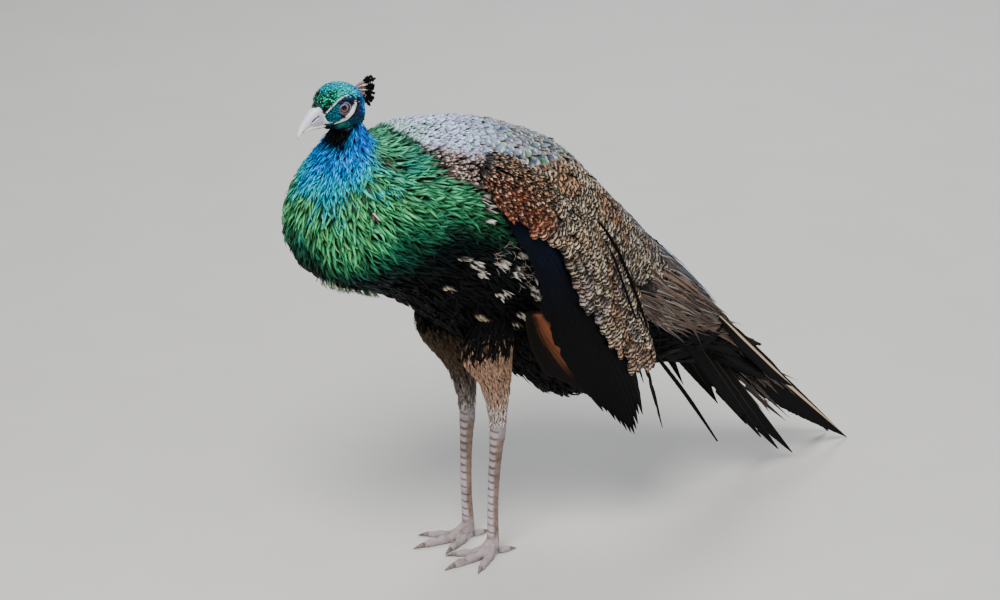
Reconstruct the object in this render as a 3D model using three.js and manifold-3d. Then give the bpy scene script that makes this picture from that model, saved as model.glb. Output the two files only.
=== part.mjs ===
// A life-size young male Indian peafowl, standing hunched with its neck drawn in and the tips of its
// longest tail feathers on the floor. Millimetres, +Z up. The bird faces -Y and its left side is +X. The
// group is shifted at the end so that the origin lies on the floor under the middle of the whole bird.
import * as THREE from "three";
import { mergeVertices } from "three/addons/utils/BufferGeometryUtils.js";
import Module from "manifold-3d";

const wasm = await Module();
wasm.setup();

// Driving dimensions.
const GAP = 0.35; // clearance between neighbouring pieces
const BODY_SIDES = 22; // corners of a ring round the body
const TARSUS_TOP = 166; // height of the ankle joint
const FOOT_TOP = 27; // height where the bare shank ends and the foot begins
const HEAD_PITCH = 6; // degrees that the bill points below level
const HEAD_TURN = 0; // degrees that the head turns to the bird's left
const EYE_RADIUS = 8;
const EYE_SIDE = 11.5; // distance of each eyeball's centre from the middle of the head
const VANE = 1.1; // thickness of one flight feather's vane

const vec = (x, y, z) => new THREE.Vector3(x, y, z);
const wave = (v, power) => Math.sign(v) * Math.abs(v) ** power;
const mix = THREE.MathUtils.lerp;
const rise = (t, from, to) => THREE.MathUtils.smoothstep(t, from, to);

// A smooth curve through rows of three numbers, read by row index.
function curveOf(rows) {
  const curve = new THREE.CatmullRomCurve3(rows.map((r) => vec(...r)), false, "catmullrom", 0.5);
  return (index) => curve.getPoint(THREE.MathUtils.clamp(index / (rows.length - 1), 0, 1));
}

// ---- Solids ----

// A closed geometry through rings of equal length, with a flat fan over each end, its faces pointing out.
function loft(rings) {
  const sides = rings[0].length;
  const points = rings.flat();
  const index = [];
  for (let i = 0; i + 1 < rings.length; i++)
    for (let j = 0; j < sides; j++) {
      const a = i * sides + j;
      const b = i * sides + ((j + 1) % sides);
      index.push(a, b, b + sides, a, b + sides, a + sides);
    }
  for (const [ring, turned] of [[0, true], [rings.length - 1, false]]) {
    const middle = rings[ring].reduce((sum, p) => sum.add(p), vec(0, 0, 0)).divideScalar(sides);
    points.push(middle);
    for (let j = 0; j < sides; j++) {
      const a = ring * sides + j;
      const b = ring * sides + ((j + 1) % sides);
      index.push(...(turned ? [b, a, points.length - 1] : [a, b, points.length - 1]));
    }
  }
  let volume = 0;
  for (let i = 0; i < index.length; i += 3)
    volume += points[index[i]].dot(points[index[i + 1]].clone().cross(points[index[i + 2]]));
  if (volume < 0) index.reverse();
  const geometry = new THREE.BufferGeometry().setFromPoints(points);
  geometry.setIndex(index);
  return geometry;
}

// The manifold solid of a geometry, and the geometry of a manifold solid.
function solid(geometry) {
  const bare = new THREE.BufferGeometry().setAttribute("position", geometry.getAttribute("position"));
  if (geometry.index) bare.setIndex(geometry.index);
  const merged = mergeVertices(bare, 1e-3);
  const vertProperties = new Float32Array(merged.attributes.position.array);
  const triVerts = new Uint32Array(merged.index.array);
  return new wasm.Manifold(new wasm.Mesh({ numProp: 3, vertProperties, triVerts }));
}

function geometryOf(shape) {
  const mesh = shape.getMesh();
  const geometry = new THREE.BufferGeometry();
  geometry.setAttribute("position", new THREE.BufferAttribute(mesh.vertProperties, 3));
  geometry.setIndex(new THREE.BufferAttribute(mesh.triVerts, 1));
  return geometry;
}

const largest = (shape) => shape.decompose().reduce((a, b) => (b.volume() > a.volume() ? b : a));

// An oval ring round a centre: `up` and `side` are the half axes, `squareness` over 2 fills its corners,
// and `turn` turns its corners by that share of a step, so that 0.5 gives it a flat underside.
function oval(centre, up, side, sides, squareness = 2, turn = 0) {
  return Array.from({ length: sides }, (_, k) => {
    const angle = ((k + turn) / sides) * 2 * Math.PI;
    return centre
      .clone()
      .addScaledVector(up, wave(Math.cos(angle), 2 / squareness))
      .addScaledVector(side, wave(Math.sin(angle), 2 / squareness));
  });
}

// ---- The body, from the neck over the breast and back to the end of the train ----
// Each station is a slice: a point on the back, a point on the front or belly, and a half width.
const BACK = curveOf([
  [0, -158, 592], [0, -156, 572], [0, -146, 560], [0, -118, 562], [0, -84, 568], [0, -46, 566], [0, 0, 557],
  [0, 53, 540], [0, 105, 514], [0, 150, 470], [0, 196, 423], [0, 242, 375], [0, 288, 327], [0, 325, 287],
  [0, 358, 251], [0, 388, 216], [0, 414, 188],
]);
const FRONT = curveOf([
  [0, -196, 578], [0, -209, 552], [0, -232, 513], [0, -247, 468], [0, -244, 425], [0, -219, 394],
  [0, -172, 376],
  [0, -115, 350], [0, -58, 308], [0, 0, 264], [0, 62, 214], [0, 121, 176], [0, 186, 180], [0, 252, 194],
  [0, 308, 182], [0, 358, 166], [0, 400, 154],
]);
// Half width, and how far the widest place lies towards the back.
const GIRTH = curveOf([
  [25, 0, 0], [33, 0, 0], [54, -0.02, 0], [82, -0.05, 0], [99, -0.08, 0], [110, -0.06, 0], [115, 0, 0],
  [116, 0.04, 0], [113, 0.08, 0], [104, 0.1, 0], [90, 0.1, 0], [74, 0.1, 0], [62, 0.1, 0], [50, 0.1, 0],
  [38, 0.1, 0], [26, 0, 0], [14, 0, 0],
]);
const BODY_SQUARENESS = 2.15;

function bodyRing(station, grow = 0) {
  const back = BACK(station);
  const front = FRONT(station);
  const girth = GIRTH(station);
  const centre = back.clone().add(front).divideScalar(2);
  const up = back.clone().sub(front).divideScalar(2);
  up.setLength(up.length() + grow);
  const skew = girth.y;
  return oval(centre, up, vec(girth.x + grow, 0, 0), BODY_SIDES, BODY_SQUARENESS).map((p) => {
    const height = p.clone().sub(centre).dot(up) / up.lengthSq();
    return vec(p.x * (1 + skew * height * 2), p.y, p.z);
  });
}

const CUT = 0.014; // half the thin cut between two lengths of the body, in stations
const BODY_LENGTHS = {
  neck: { from: 0, to: 2, steps: 5 },
  breast: { from: 2, to: 5, steps: 8 },
  trunk: { from: 5, to: 8.5, steps: 7 },
  rump: { from: 8.5, to: 11.6, steps: 6 },
  train: { from: 11.6, to: 16, steps: 7 },
};
const BODY_END = 16;

// The stations of the rings of one length, its cut ends drawn in.
function stationsOf({ from, to, steps }) {
  const low = from === 0 ? 0 : from + CUT;
  const high = to === BODY_END ? to : to - CUT;
  return Array.from({ length: steps + 1 }, (_, i) => mix(low, high, i / steps));
}

// The whole body a little grown, which the pieces around it are cut back to.
const allStations = Object.values(BODY_LENGTHS).flatMap(stationsOf);
const grownBody = solid(loft(allStations.map((station) => bodyRing(station, GAP))));

// ---- The head, in its own frame: `ahead` towards the bill, `high` above the eyes, x to the left ----
const EYE_LINE = vec(0, -186, 607); // the middle of the head, just behind the eyes
const EYE_AHEAD = 3; // the eyes lie this far ahead of it
const pitch = THREE.MathUtils.degToRad(HEAD_PITCH);
const headTurn = new THREE.Matrix4()
  .makeTranslation(EYE_LINE)
  .multiply(new THREE.Matrix4().makeRotationZ(THREE.MathUtils.degToRad(HEAD_TURN)))
  .multiply(new THREE.Matrix4().makeRotationX(pitch));
const headPoint = (x, ahead, high) => vec(x, -ahead, high).applyMatrix4(headTurn);

// Rows of [ahead, top, bottom, half width].
function headLoft(rows, steps, sides, squareness, grow = 0) {
  const line = curveOf(rows.map(([ahead, top, bottom]) => [ahead, top, bottom]));
  const wide = curveOf(rows.map((r) => [r[3], 0, 0]));
  const rings = [];
  for (let i = 0; i <= steps; i++) {
    const at = (i / steps) * (rows.length - 1);
    const { x: ahead, y: top, z: bottom } = line(at);
    const half = wide(at).x + grow;
    const middle = (top + bottom) / 2;
    const up = (top - bottom) / 2 + grow;
    const flat = oval(vec(0, 0, middle), vec(0, 0, up), vec(half, 0, 0), sides, squareness);
    const shift = (i === 0 ? -1 : i === steps ? 1 : 0) * grow * Math.sign(rows.at(-1)[0] - rows[0][0]);
    rings.push(flat.map((p) => headPoint(p.x, ahead + shift, p.z)));
  }
  return loft(rings);
}

const SKULL = [
  [-26, 1, -15, 5], [-23.5, 11, -26, 12.5], [-17, 18.5, -30.5, 16.8], [-7, 24.5, -31, 18.2],
  [4, 27.5, -29.5, 17.6], [14, 28, -26.5, 16.2], [24, 24.5, -24, 13.6], [31, 18, -21, 10.8], [36, 10, -17, 8],
];
const UPPER_BILL = [
  [24, 9, -15.5, 6.4], [30, 9, -16.4, 7.6], [37, 5.6, -16, 7], [44, 1, -15.6, 5.9], [50, -5.4, -17, 4.6],
  [55, -11.8, -19.6, 3.3], [59, -18, -22.8, 2.1], [61.8, -24, -26.4, 0.8],
];
const LOWER_BILL = [
  [24, -16.5, -22.5, 5.6], [31, -17, -23.2, 6.4], [38, -16.6, -22.6, 5.7], [45, -16.4, -21.4, 4.5],
  [50, -17.6, -21.4, 3.2], [54, -19.6, -22, 1.5],
];
const eyeCentre = (side) => headPoint(side * EYE_SIDE, EYE_AHEAD, 0);
const ball = (centre, radius) => new THREE.SphereGeometry(radius, 12, 9).translate(...centre.toArray());

const upperBillWith = (grow) => solid(headLoft(UPPER_BILL, 11, 12, 2.2, grow));
const lowerBillWith = (grow) => solid(headLoft(LOWER_BILL, 7, 10, 2.3, grow));
const skullWith = (grow) => solid(headLoft(SKULL, 12, 16, 2.15, grow));
const grownEye = (side) => solid(ball(eyeCentre(side), EYE_RADIUS + GAP));
const grownEyes = grownEye(1).add(grownEye(-1));
const upperBill = upperBillWith(0);
const lowerBill = lowerBillWith(0).subtract(upperBillWith(GAP));
const head = skullWith(0).subtract(upperBillWith(GAP)).subtract(lowerBillWith(GAP)).subtract(grownEyes);
const grownSkull = skullWith(GAP);

// The crest: a fan of bare shafts with a small vane at each tip, spread in the middle plane of the head.
const CREST_FEATHERS = 13;
const CREST_ROOT = { ahead: -18.5, high: 14.5 };
const CREST_BASE = 3.6; // radius of the skin that the shafts stand in
const CREST_LENGTH = 29;
const CREST_FROM = 159; // degrees from straight ahead to the highest feather
const CREST_TO = 238; // and to the lowest one
// Half width of a feather at each share of its length: a bare shaft that ends in a small vane.
const CREST_WIDTHS = [[0, 0.8], [0.68, 0.6], [0.74, 2.2], [0.88, 3.1], [0.97, 2.4], [1, 0.8]];

function crestFeather(i) {
  const share = i / (CREST_FEATHERS - 1);
  const angle = THREE.MathUtils.degToRad(mix(CREST_FROM, CREST_TO, share));
  const lean = 3.2 * Math.sin(i * 2.4); // a feather stands a little left or right of the fan
  const length = CREST_LENGTH * (1 - 0.16 * share + 0.05 * Math.sin(i * 1.7));
  const along = [Math.cos(angle), Math.sin(angle)];
  const rings = CREST_WIDTHS.map(([at, half]) => {
    const ahead = CREST_ROOT.ahead - 2.5 * share + along[0] * length * at;
    const high = CREST_ROOT.high - 2.5 * share + along[1] * length * at - 2.5 * at * at;
    const x = lean * at * 1.6;
    const corners = [[-0.5, -half], [0.5, -half], [0.5, half], [-0.5, half]];
    return corners.map(([s, w]) => headPoint(x + s, ahead - along[1] * w, high + along[0] * w));
  });
  return solid(loft(rings));
}
const crestBase = solid(ball(headPoint(0, CREST_ROOT.ahead - 2.5, CREST_ROOT.high), CREST_BASE));
let crest = crestBase;
for (let i = 0; i < CREST_FEATHERS; i++) crest = crest.add(crestFeather(i));
crest = largest(crest.subtract(grownSkull).subtract(grownBody));

// ---- Legs ----
const LEGS = [
  { name: "left", side: 1, toes: [36, 2], ankle: [38, 8], knee: [54, -26], top: [60, -10], toeOut: 6 },
  { name: "right", side: -1, toes: [-24, 4], ankle: [-33, 9], knee: [-52, -22], top: [-58, -20], toeOut: 4 },
];

// The feathered leg from the ankle up into the body. Rows of [height, half depth, half width].
function thigh(leg) {
  const [ax, ay] = leg.ankle;
  const path = curveOf([
    [ax, ay, TARSUS_TOP + 6],
    [ax + 1.5 * leg.side, ay - 1, TARSUS_TOP + 30],
    [ax + 5 * leg.side, ay - 7, TARSUS_TOP + 68],
    [leg.knee[0], leg.knee[1] + 9, TARSUS_TOP + 112],
    [leg.top[0], leg.top[1], TARSUS_TOP + 165],
  ]);
  const size = curveOf([[10.5, 9, 0], [12.5, 11, 0], [20, 16.5, 0], [33, 25, 0], [44, 30, 0]]);
  const steps = 9;
  const rings = Array.from({ length: steps + 1 }, (_, i) => {
    const at = (i / steps) * 4;
    const { x: deep, y: wide } = size(at);
    return oval(path(at), vec(0, deep, deep * 0.18), vec(wide, 0, 0), 12, 2.1);
  });
  return largest(solid(loft(rings)).subtract(grownBody));
}

// The bare shank, deeper than wide, with a thick ankle and a spread lower end.
// Rows of [height, half depth, half width].
const SHANK = [
  [16, 7.6, 8], [FOOT_TOP, 7.4, 6.8], [60, 7, 5.6], [100, 7.6, 5.6], [138, 8.6, 6.2], [156, 10, 7.8],
  [TARSUS_TOP + 3, 10, 8.2],
];
function shankLoft(leg, low, high, steps) {
  const size = curveOf(SHANK);
  const rings = [];
  for (let i = 0; i <= steps; i++) {
    const height = mix(low, high, i / steps);
    let at = 0; // the row index whose height this is
    for (let n = 0; n < 20; n++) at += ((height - size(at).x) / 26) * 0.6;
    const { y: deep, z: wide } = size(at);
    const share = (height - SHANK[0][0]) / (TARSUS_TOP - SHANK[0][0]);
    const bow = 3 * Math.sin(Math.PI * share); // the shank bows forward a little
    const x = mix(leg.toes[0], leg.ankle[0], share);
    const y = mix(leg.toes[1], leg.ankle[1], share) - bow;
    rings.push(oval(vec(x, y, height), vec(0, deep, 0), vec(wide, 0, 0), 12, 2.4));
  }
  return solid(loft(rings));
}

// A toe: angle from straight ahead towards the outer side, length to the claw, thickness at root and tip.
const TOES = [
  { name: "inner", turn: -33, length: 44, root: 6, tip: 4, lift: 12, claw: 13 },
  { name: "middle", turn: 1, length: 60, root: 6.6, tip: 4.3, lift: 13, claw: 15 },
  { name: "outer", turn: 34, length: 48, root: 5.8, tip: 3.9, lift: 12, claw: 13 },
  { name: "hind", turn: 172, length: 21, root: 5, tip: 3.6, lift: 15, claw: 11 },
];
const PAD_LENGTH = 17; // a toe swells once in this length
const FLAT = 0.8; // how deep the sole of a toe is flattened, as it rests on the floor

function toeLine(leg, toe) {
  const turn = THREE.MathUtils.degToRad(leg.side * (toe.turn + leg.toeOut));
  const ahead = vec(Math.sin(turn), -Math.cos(turn), 0);
  const [x, y] = leg.toes;
  const pads = toe.length / PAD_LENGTH;
  const radiusAt = (s) => mix(toe.root, toe.tip, s) * (1 + 0.07 * Math.cos(2 * Math.PI * pads * s));
  const heightAt = (s) => radiusAt(s) - FLAT + toe.lift * (1 - rise(s, 0, 0.42));
  const point = (s) => vec(x, y, 0).addScaledVector(ahead, 2 + s * toe.length).setZ(heightAt(s));
  return { ahead, radiusAt, point };
}

const onFloor = (p) => p.setZ(Math.max(p.z, 0));

function toeSolid(leg, toe) {
  const { ahead, radiusAt, point } = toeLine(leg, toe);
  const across = vec(ahead.y, -ahead.x, 0);
  const steps = 7;
  const rings = Array.from({ length: steps + 1 }, (_, i) => {
    const s = i / steps;
    const radius = radiusAt(s);
    const side = across.clone().multiplyScalar(radius * 1.05);
    return oval(point(s), vec(0, 0, radius), side, 8, 2.2, 0.5).map(onFloor);
  });
  return solid(loft(rings));
}

function foot(leg) {
  const [x, y] = leg.toes;
  let shape = solid(new THREE.SphereGeometry(9, 10, 7).scale(1, 1.05, 0.95).translate(x, y - 1, 14));
  shape = shape.add(shankLoft(leg, 16, FOOT_TOP - GAP, 3));
  for (const toe of TOES) shape = shape.add(toeSolid(leg, toe));
  return largest(shape);
}

function claw(leg, toe) {
  const { ahead, point } = toeLine(leg, toe);
  const start = point(1).addScaledVector(ahead, GAP);
  const across = vec(ahead.y, -ahead.x, 0);
  const steps = 4;
  const rings = Array.from({ length: steps + 1 }, (_, i) => {
    const s = i / steps;
    const radius = toe.tip * mix(0.78, 0.14, s ** 1.3);
    const drop = mix(0.6, toe.tip * 0.75, s * s);
    const height = Math.max(start.z + 0.8 - drop, radius * 0.82);
    const centre = start.clone().addScaledVector(ahead, s * toe.claw).setZ(height);
    const half = across.clone().multiplyScalar(radius * 0.8);
    return oval(centre, vec(0, 0, radius), half, 6, 2, 0.5).map(onFloor);
  });
  return solid(loft(rings));
}

// ---- Wings: three layers of plates that hang over the side of the body ----
// The lower edge, the bulging middle and the upper edge of the folded left wing, shoulder first.
const WING_LOW = curveOf([
  [86, -62, 533], [112, -51, 495], [119, -26, 458], [118, -4, 411], [103, 11, 329],
  [92, 47, 251], [80, 137, 162],
]);
const WING_MID = curveOf([
  [84, -50, 541], [112, -24, 512], [126, 12, 471], [129, 50, 418], [122, 75, 344],
  [108, 115, 261], [86, 179, 133],
]);
const WING_TOP = curveOf([
  [74, -32, 545], [80, 28, 517], [95, 75, 474], [96, 129, 413], [90, 171, 339],
  [82, 208, 250], [78, 232, 130],
]);
const WING_ROWS = 6;

// The point of the wing at `along` 0 to 1 from the shoulder to the tip, `across` -1 to 1 from the lower
// to the upper edge, and `lift` millimetres away from the body.
function wingPoint(along, across, lift) {
  const out = lift * (1 - 0.85 * rise(across, 0.3, 1)); // the layers close up towards the back
  const [low, mid, top] = [WING_LOW, WING_MID, WING_TOP].map((c) => c(along * WING_ROWS));
  const place = low
    .multiplyScalar((across * (across - 1)) / 2)
    .add(mid.multiplyScalar(1 - across * across))
    .add(top.multiplyScalar((across * (across + 1)) / 2));
  return place.add(vec(out, 0, out * 0.25 * across));
}

// A plate of the wing. `from` and `to` give its lower and upper border at each length, `height` its
// layer, `thick` its thickness and `tip` how far past `end` it reaches at each share of its breadth.
// Its edges thin out.
function wingPlate({ start, end, from, to, height, thick, tip = () => 0, rows, columns }, side) {
  const rings = [];
  for (let i = 0; i <= rows; i++) {
    const line = (out) =>
      Array.from({ length: columns + 1 }, (_, j) => {
        const share = j / columns;
        const along = mix(start, end + tip(share), i / rows);
        const bulge = Math.sqrt(Math.sin(Math.PI * share));
        const depth = out ? 0.5 + (thick(along) - 0.5) * bulge : 0;
        const p = wingPoint(along, mix(from(along), to(along), share), height + depth);
        return vec(p.x * side, p.y, p.z);
      });
    rings.push([...line(true), ...line(false).reverse()]);
  }
  return largest(solid(loft(rings)).subtract(grownBody));
}

const WING_LAYERS = {
  primaries: {
    start: 0.56, end: 0.86, height: 0, thick: () => 2.2, columns: 4, rows: 7,
    from: () => -1, to: (s) => mix(-0.5, -0.1, rise(s, 0.55, 0.85)), tip: (share) => 0.12 * share,
  },
  secondaries: {
    start: 0.27, end: 0.9, height: 3.1, thick: () => 2.4, columns: 6, rows: 9,
    from: (s) => mix(-1, -0.55, rise(s, 0.45, 0.7)), to: (s) => mix(0.1, 0.62, rise(s, 0.3, 0.9)),
    tip: (share) => 0.09 * rise(share, 0, 0.45) - 0.05 * rise(share, 0.55, 1),
  },
  coverts: {
    start: 0, end: 0.85, height: 6.3, thick: (s) => mix(11, 3.2, rise(s, 0.1, 0.9)), columns: 6, rows: 11,
    from: (s) => mix(-1, 0.42, rise(s, 0.1, 0.85)) + 0.25 * rise(s, 0.85, 0.99), to: () => 1,
    tip: (share) => 0.1 * rise(share, 0, 0.5) - 0.03 * rise(share, 0.7, 1),
  },
};

// ---- Tail: five feathers a side, the middle pair longest. On the left the wide outer web of each hangs
// steeply from its shaft; on the right they lie over each other like a roof ----
const TAIL = { // tip and root of the shaft, roll in degrees, widths of the inner and outer webs
  left: [
    { tip: [-29, 610, 0.8], root: [21, 235, 345], roll: 84, webs: [6, 38] },
    { tip: [-9, 503, 9], root: [29.5, 230, 340], roll: 84, webs: [2, 26] },
    { tip: [3, 470, 26], root: [36.5, 226, 336], roll: 79, webs: [2.5, 24] },
    { tip: [20, 428, 58], root: [43.5, 222, 332], roll: 76, webs: [4, 20] },
    { tip: [31, 350, 73], root: [60, 215, 245], roll: 72, webs: [4, 4] },
  ],
  right: [
    { tip: [-62, 604, 0.8], root: [-21, 235, 345], roll: 20, webs: [21, 21] },
    { tip: [-50, 490, 20], root: [-19, 230, 340], roll: 31, webs: [20, 20] },
    { tip: [-48, 455, 48], root: [-16, 226, 336], roll: 42, webs: [19, 19] },
    { tip: [-52, 410, 86], root: [-12, 222, 332], roll: 53, webs: [17, 17] },
    { tip: [-40, 345, 130], root: [-4, 222, 322], roll: 56, webs: [8, 8] },
  ],
};
const TAIL_TAPER = { from: 0.62, power: 1.25 }; // where along the shaft a vane starts to narrow, and how
const TAIL_ARCH = 4; // how far a shaft bows up
const TAIL_FALL = 2; // how far the edges of the webs fall below the shaft
function tailFeather(feather, side) {
  const tip = vec(...feather.tip);
  const root = vec(...feather.root);
  const roll = THREE.MathUtils.degToRad(feather.roll);
  const [inner, outer] = feather.webs;
  const along = tip.clone().sub(root).normalize();
  const flat = vec(side * Math.cos(roll), 0, -Math.sin(roll));
  const across = flat.addScaledVector(along, -flat.dot(along)).normalize();
  const normal = across.clone().cross(along).normalize();
  if (normal.z < 0) normal.negate();
  const steps = 12;
  const rings = Array.from({ length: steps + 1 }, (_, k) => {
    const s = k / steps;
    const narrowing = Math.max((s - TAIL_TAPER.from) / (1.003 - TAIL_TAPER.from), 0) ** TAIL_TAPER.power;
    const share = (0.5 + 0.5 * rise(s, 0, 0.3)) * (1 - narrowing);
    const centre = root.clone().lerp(tip, s).addScaledVector(normal, TAIL_ARCH * Math.sin(Math.PI * s));
    const edge = [-inner, 0, outer].map((width) =>
      centre.clone().addScaledVector(across, width * share)
        .addScaledVector(normal, width ? -TAIL_FALL * share : 0));
    const under = edge.map((p) => p.clone().addScaledVector(normal, -VANE)).reverse();
    return [...edge, ...under].map(onFloor);
  });
  return largest(solid(loft(rings)).subtract(grownBody));
}

// ---- The bird ----
const bird = new THREE.Group();
const SIDES = [["left", 1], ["right", -1]];
const COLOURS = {
  blue: [0x0d5fae, 0.45, 0.35],
  green: [0x1f6b45, 0.5, 0.3],
  black: [0x121418, 0.7, 0],
  scaly: [0x8b97a6, 0.6, 0.15],
  barred: [0x7b6450, 0.8, 0],
  rufous: [0x9a4a1e, 0.7, 0],
  dark: [0x1d1814, 0.75, 0],
  buff: [0x9c7a58, 0.85, 0],
  horn: [0xb9b3bd, 0.45, 0],
  leg: [0x94827c, 0.6, 0],
  claw: [0x3c342e, 0.5, 0],
  eye: [0x4a3026, 0.1, 0],
};
function add(name, geometry, colour) {
  const [color, roughness, metalness] = COLOURS[colour];
  const mesh = new THREE.Mesh(geometry, new THREE.MeshStandardMaterial({ color, roughness, metalness }));
  mesh.name = name;
  bird.add(mesh);
}

const BODY_COLOURS = { neck: "blue", breast: "green", trunk: "scaly", rump: "scaly", train: "barred" };
for (const [name, span] of Object.entries(BODY_LENGTHS)) {
  let shape = solid(loft(stationsOf(span).map((station) => bodyRing(station))));
  if (name === "neck") shape = largest(shape.subtract(grownSkull).subtract(grownEyes));
  add(name, geometryOf(shape), BODY_COLOURS[name]);
}
add("head", geometryOf(largest(head)), "blue");
add("bill_upper", geometryOf(upperBill), "horn");
add("bill_lower", geometryOf(largest(lowerBill)), "horn");
add("crest", geometryOf(crest), "dark");
for (const [name, side] of SIDES) add("eye_" + name, ball(eyeCentre(side), EYE_RADIUS), "eye");

for (const leg of LEGS) {
  add("thigh_" + leg.name, geometryOf(thigh(leg)), "buff");
  add("shank_" + leg.name, geometryOf(shankLoft(leg, FOOT_TOP, TARSUS_TOP + 3, 8)), "leg");
  add("foot_" + leg.name, geometryOf(foot(leg)), "leg");
  for (const toe of TOES) add(`claw_${toe.name}_${leg.name}`, geometryOf(claw(leg, toe)), "claw");
}

const LAYER_COLOURS = { primaries: "rufous", secondaries: "black", coverts: "barred" };
for (const [layer, plan] of Object.entries(WING_LAYERS)) {
  for (const [name, side] of SIDES) {
    add(`wing_${name}_${layer}`, geometryOf(wingPlate(plan, side)), LAYER_COLOURS[layer]);
  }
}

for (const [name, side] of SIDES)
  TAIL[name].forEach((feather, i) =>
    add(`tail_${name}_${i + 1}`, geometryOf(tailFeather(feather, side)), "dark"));

// The origin goes to the floor under the middle of the bird's box.
const box = new THREE.Box3().setFromObject(bird);
bird.position.set(-(box.min.x + box.max.x) / 2, -(box.min.y + box.max.y) / 2, -box.min.z);

export default bird;
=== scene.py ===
import bpy
import numpy as np
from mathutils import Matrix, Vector


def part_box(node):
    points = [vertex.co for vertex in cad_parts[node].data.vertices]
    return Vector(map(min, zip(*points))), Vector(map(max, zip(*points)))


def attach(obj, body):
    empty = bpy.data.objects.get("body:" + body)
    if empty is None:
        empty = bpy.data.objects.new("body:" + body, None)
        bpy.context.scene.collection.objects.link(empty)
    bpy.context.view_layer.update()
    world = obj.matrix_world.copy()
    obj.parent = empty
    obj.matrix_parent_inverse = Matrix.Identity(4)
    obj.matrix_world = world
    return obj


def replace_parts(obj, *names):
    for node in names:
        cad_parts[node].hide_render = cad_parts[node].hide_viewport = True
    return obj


# A young male Indian peafowl, life size, standing hunched with its short train closed. Its shapes are worked
# out in millimetres, the bird facing -y with its left side at +x, and placed into the frame in metres.

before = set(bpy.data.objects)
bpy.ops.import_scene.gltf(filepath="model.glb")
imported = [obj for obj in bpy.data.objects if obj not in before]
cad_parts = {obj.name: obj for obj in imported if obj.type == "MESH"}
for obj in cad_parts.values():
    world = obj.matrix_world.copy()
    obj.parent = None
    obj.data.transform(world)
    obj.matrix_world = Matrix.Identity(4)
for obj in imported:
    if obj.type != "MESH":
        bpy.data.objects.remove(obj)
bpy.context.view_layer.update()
dice = np.random.default_rng(41)
sides = {"left": 1, "right": -1}  # which way x goes on each side


# The middle of the head, just behind the eyes, and the left eye's centre. The frame's eye tells where the
# bird goes.
headMiddle = np.array([0.0, -186.0, 607.0])
eyeCentre = np.array([11.5, -188.98, 606.69])
eyeLow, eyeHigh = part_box("eye_left")
eyeMiddle = np.array([(a + b) / 2 for a, b in zip(eyeLow, eyeHigh)])
birdShift = eyeMiddle - eyeCentre / 1000


# Millimetres of the bird's own plan as metres of the frame: divided by 1000, then shifted.
def place(points):
    return np.asarray(points, float) / 1000 + birdShift


# Numbers and vectors


# The value `t` of the way from `a` to `b`.
def lerp(a, b, t):
    return a + (b - a) * t


# An s-shaped rise from 0 at `start` to 1 at `end`.
def rise(t, start, end):
    t = np.clip((np.asarray(t, float) - start) / (end - start), 0, 1)
    return t * t * (3 - 2 * t)


# A cosine or sine whose oval fills its corners, by a power below one.
def wave(value, power):
    return np.sign(value) * np.abs(value) ** power


# Vectors divided by their own length.
def unit(vectors):
    return vectors / np.maximum(np.linalg.norm(vectors, axis=-1, keepdims=True), 1e-9)


# The dot product of each pair of vectors.
def dot(a, b):
    return (a * b).sum(-1)


# The same numbers with one more direction, so that each multiplies a whole vector.
def column(values):
    return np.asarray(values, float)[..., None]


# A smooth curve through rows of numbers, read by row index: each stretch is a cubic whose slope at a row is
# half the way between that row's neighbours.
def curveThrough(rows, at):
    rows = np.asarray(rows, float)
    at = np.clip(np.asarray(at, float), 0, len(rows) - 1)
    start = np.minimum(at.astype(int), len(rows) - 2)
    part = column(at - start)
    more = np.vstack([2 * rows[0] - rows[1], rows, 2 * rows[-1] - rows[-2]])
    before, a, b, after = more[start], more[start + 1], more[start + 2], more[start + 3]
    slopeA, slopeB = (b - before) / 2, (after - a) / 2
    cubic = 2 * a - 2 * b + slopeA + slopeB
    square = -3 * a + 3 * b - 2 * slopeA - slopeB
    return a + part * slopeA + part**2 * square + part**3 * cubic


# Smooth noise from -1 to 1: a random number at each corner of a lattice, blended in between.
def noiseAt(points, size, seed=0):
    scaled = np.asarray(points, float) / size
    cell = np.floor(scaled).astype(np.int64)
    part = scaled - cell
    part = part * part * (3 - 2 * part)
    total = 0
    for corner in np.ndindex(2, 2, 2):
        key = (cell + np.array(corner)) * np.array([73856093, 19349663, 83492791])
        mixed = key[..., 0] ^ key[..., 1] ^ key[..., 2] ^ (seed * 9176 + 77)
        value = (np.sin((mixed & 0xFFFFF) * 12.9898) * 43758.5453) % 1
        total = total + value * np.prod(np.where(corner, part, 1 - part), -1)
    return total * 2 - 1


# A display colour of 0 to 255 as the linear colour that a shader works with.
def paint(*display):
    share = np.array(display, float) / 255
    return np.where(share < 0.04045, share / 12.92, ((share + 0.055) / 1.055) ** 2.4)


# How near points of a plane lie to a line of corners: the distance, and the place along it from 0 to 1.
def nearLine(points, corners):
    corners = np.asarray(corners, float)
    best, where = np.full(points.shape[:-1], 1e9), np.zeros(points.shape[:-1])
    for i, (a, b) in enumerate(zip(corners[:-1], corners[1:])):
        share = np.clip(dot(points - a, b - a) / dot(b - a, b - a), 0, 1)
        away = np.linalg.norm(points - a - column(share) * (b - a), axis=-1)
        where = np.where(away < best, (i + share) / (len(corners) - 1), where)
        best = np.minimum(away, best)
    return best, where


# Meshes


# Four-sided faces over a sheet of points that is joined round its second direction.
def sheetFaces(rows, columns):
    i, j = np.meshgrid(np.arange(rows - 1), np.arange(columns), indexing="ij")
    k = (j + 1) % columns
    here, below = i * columns, (i + 1) * columns
    return np.stack([here + j, here + k, below + k, below + j], -1).reshape(-1, 4)


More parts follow.
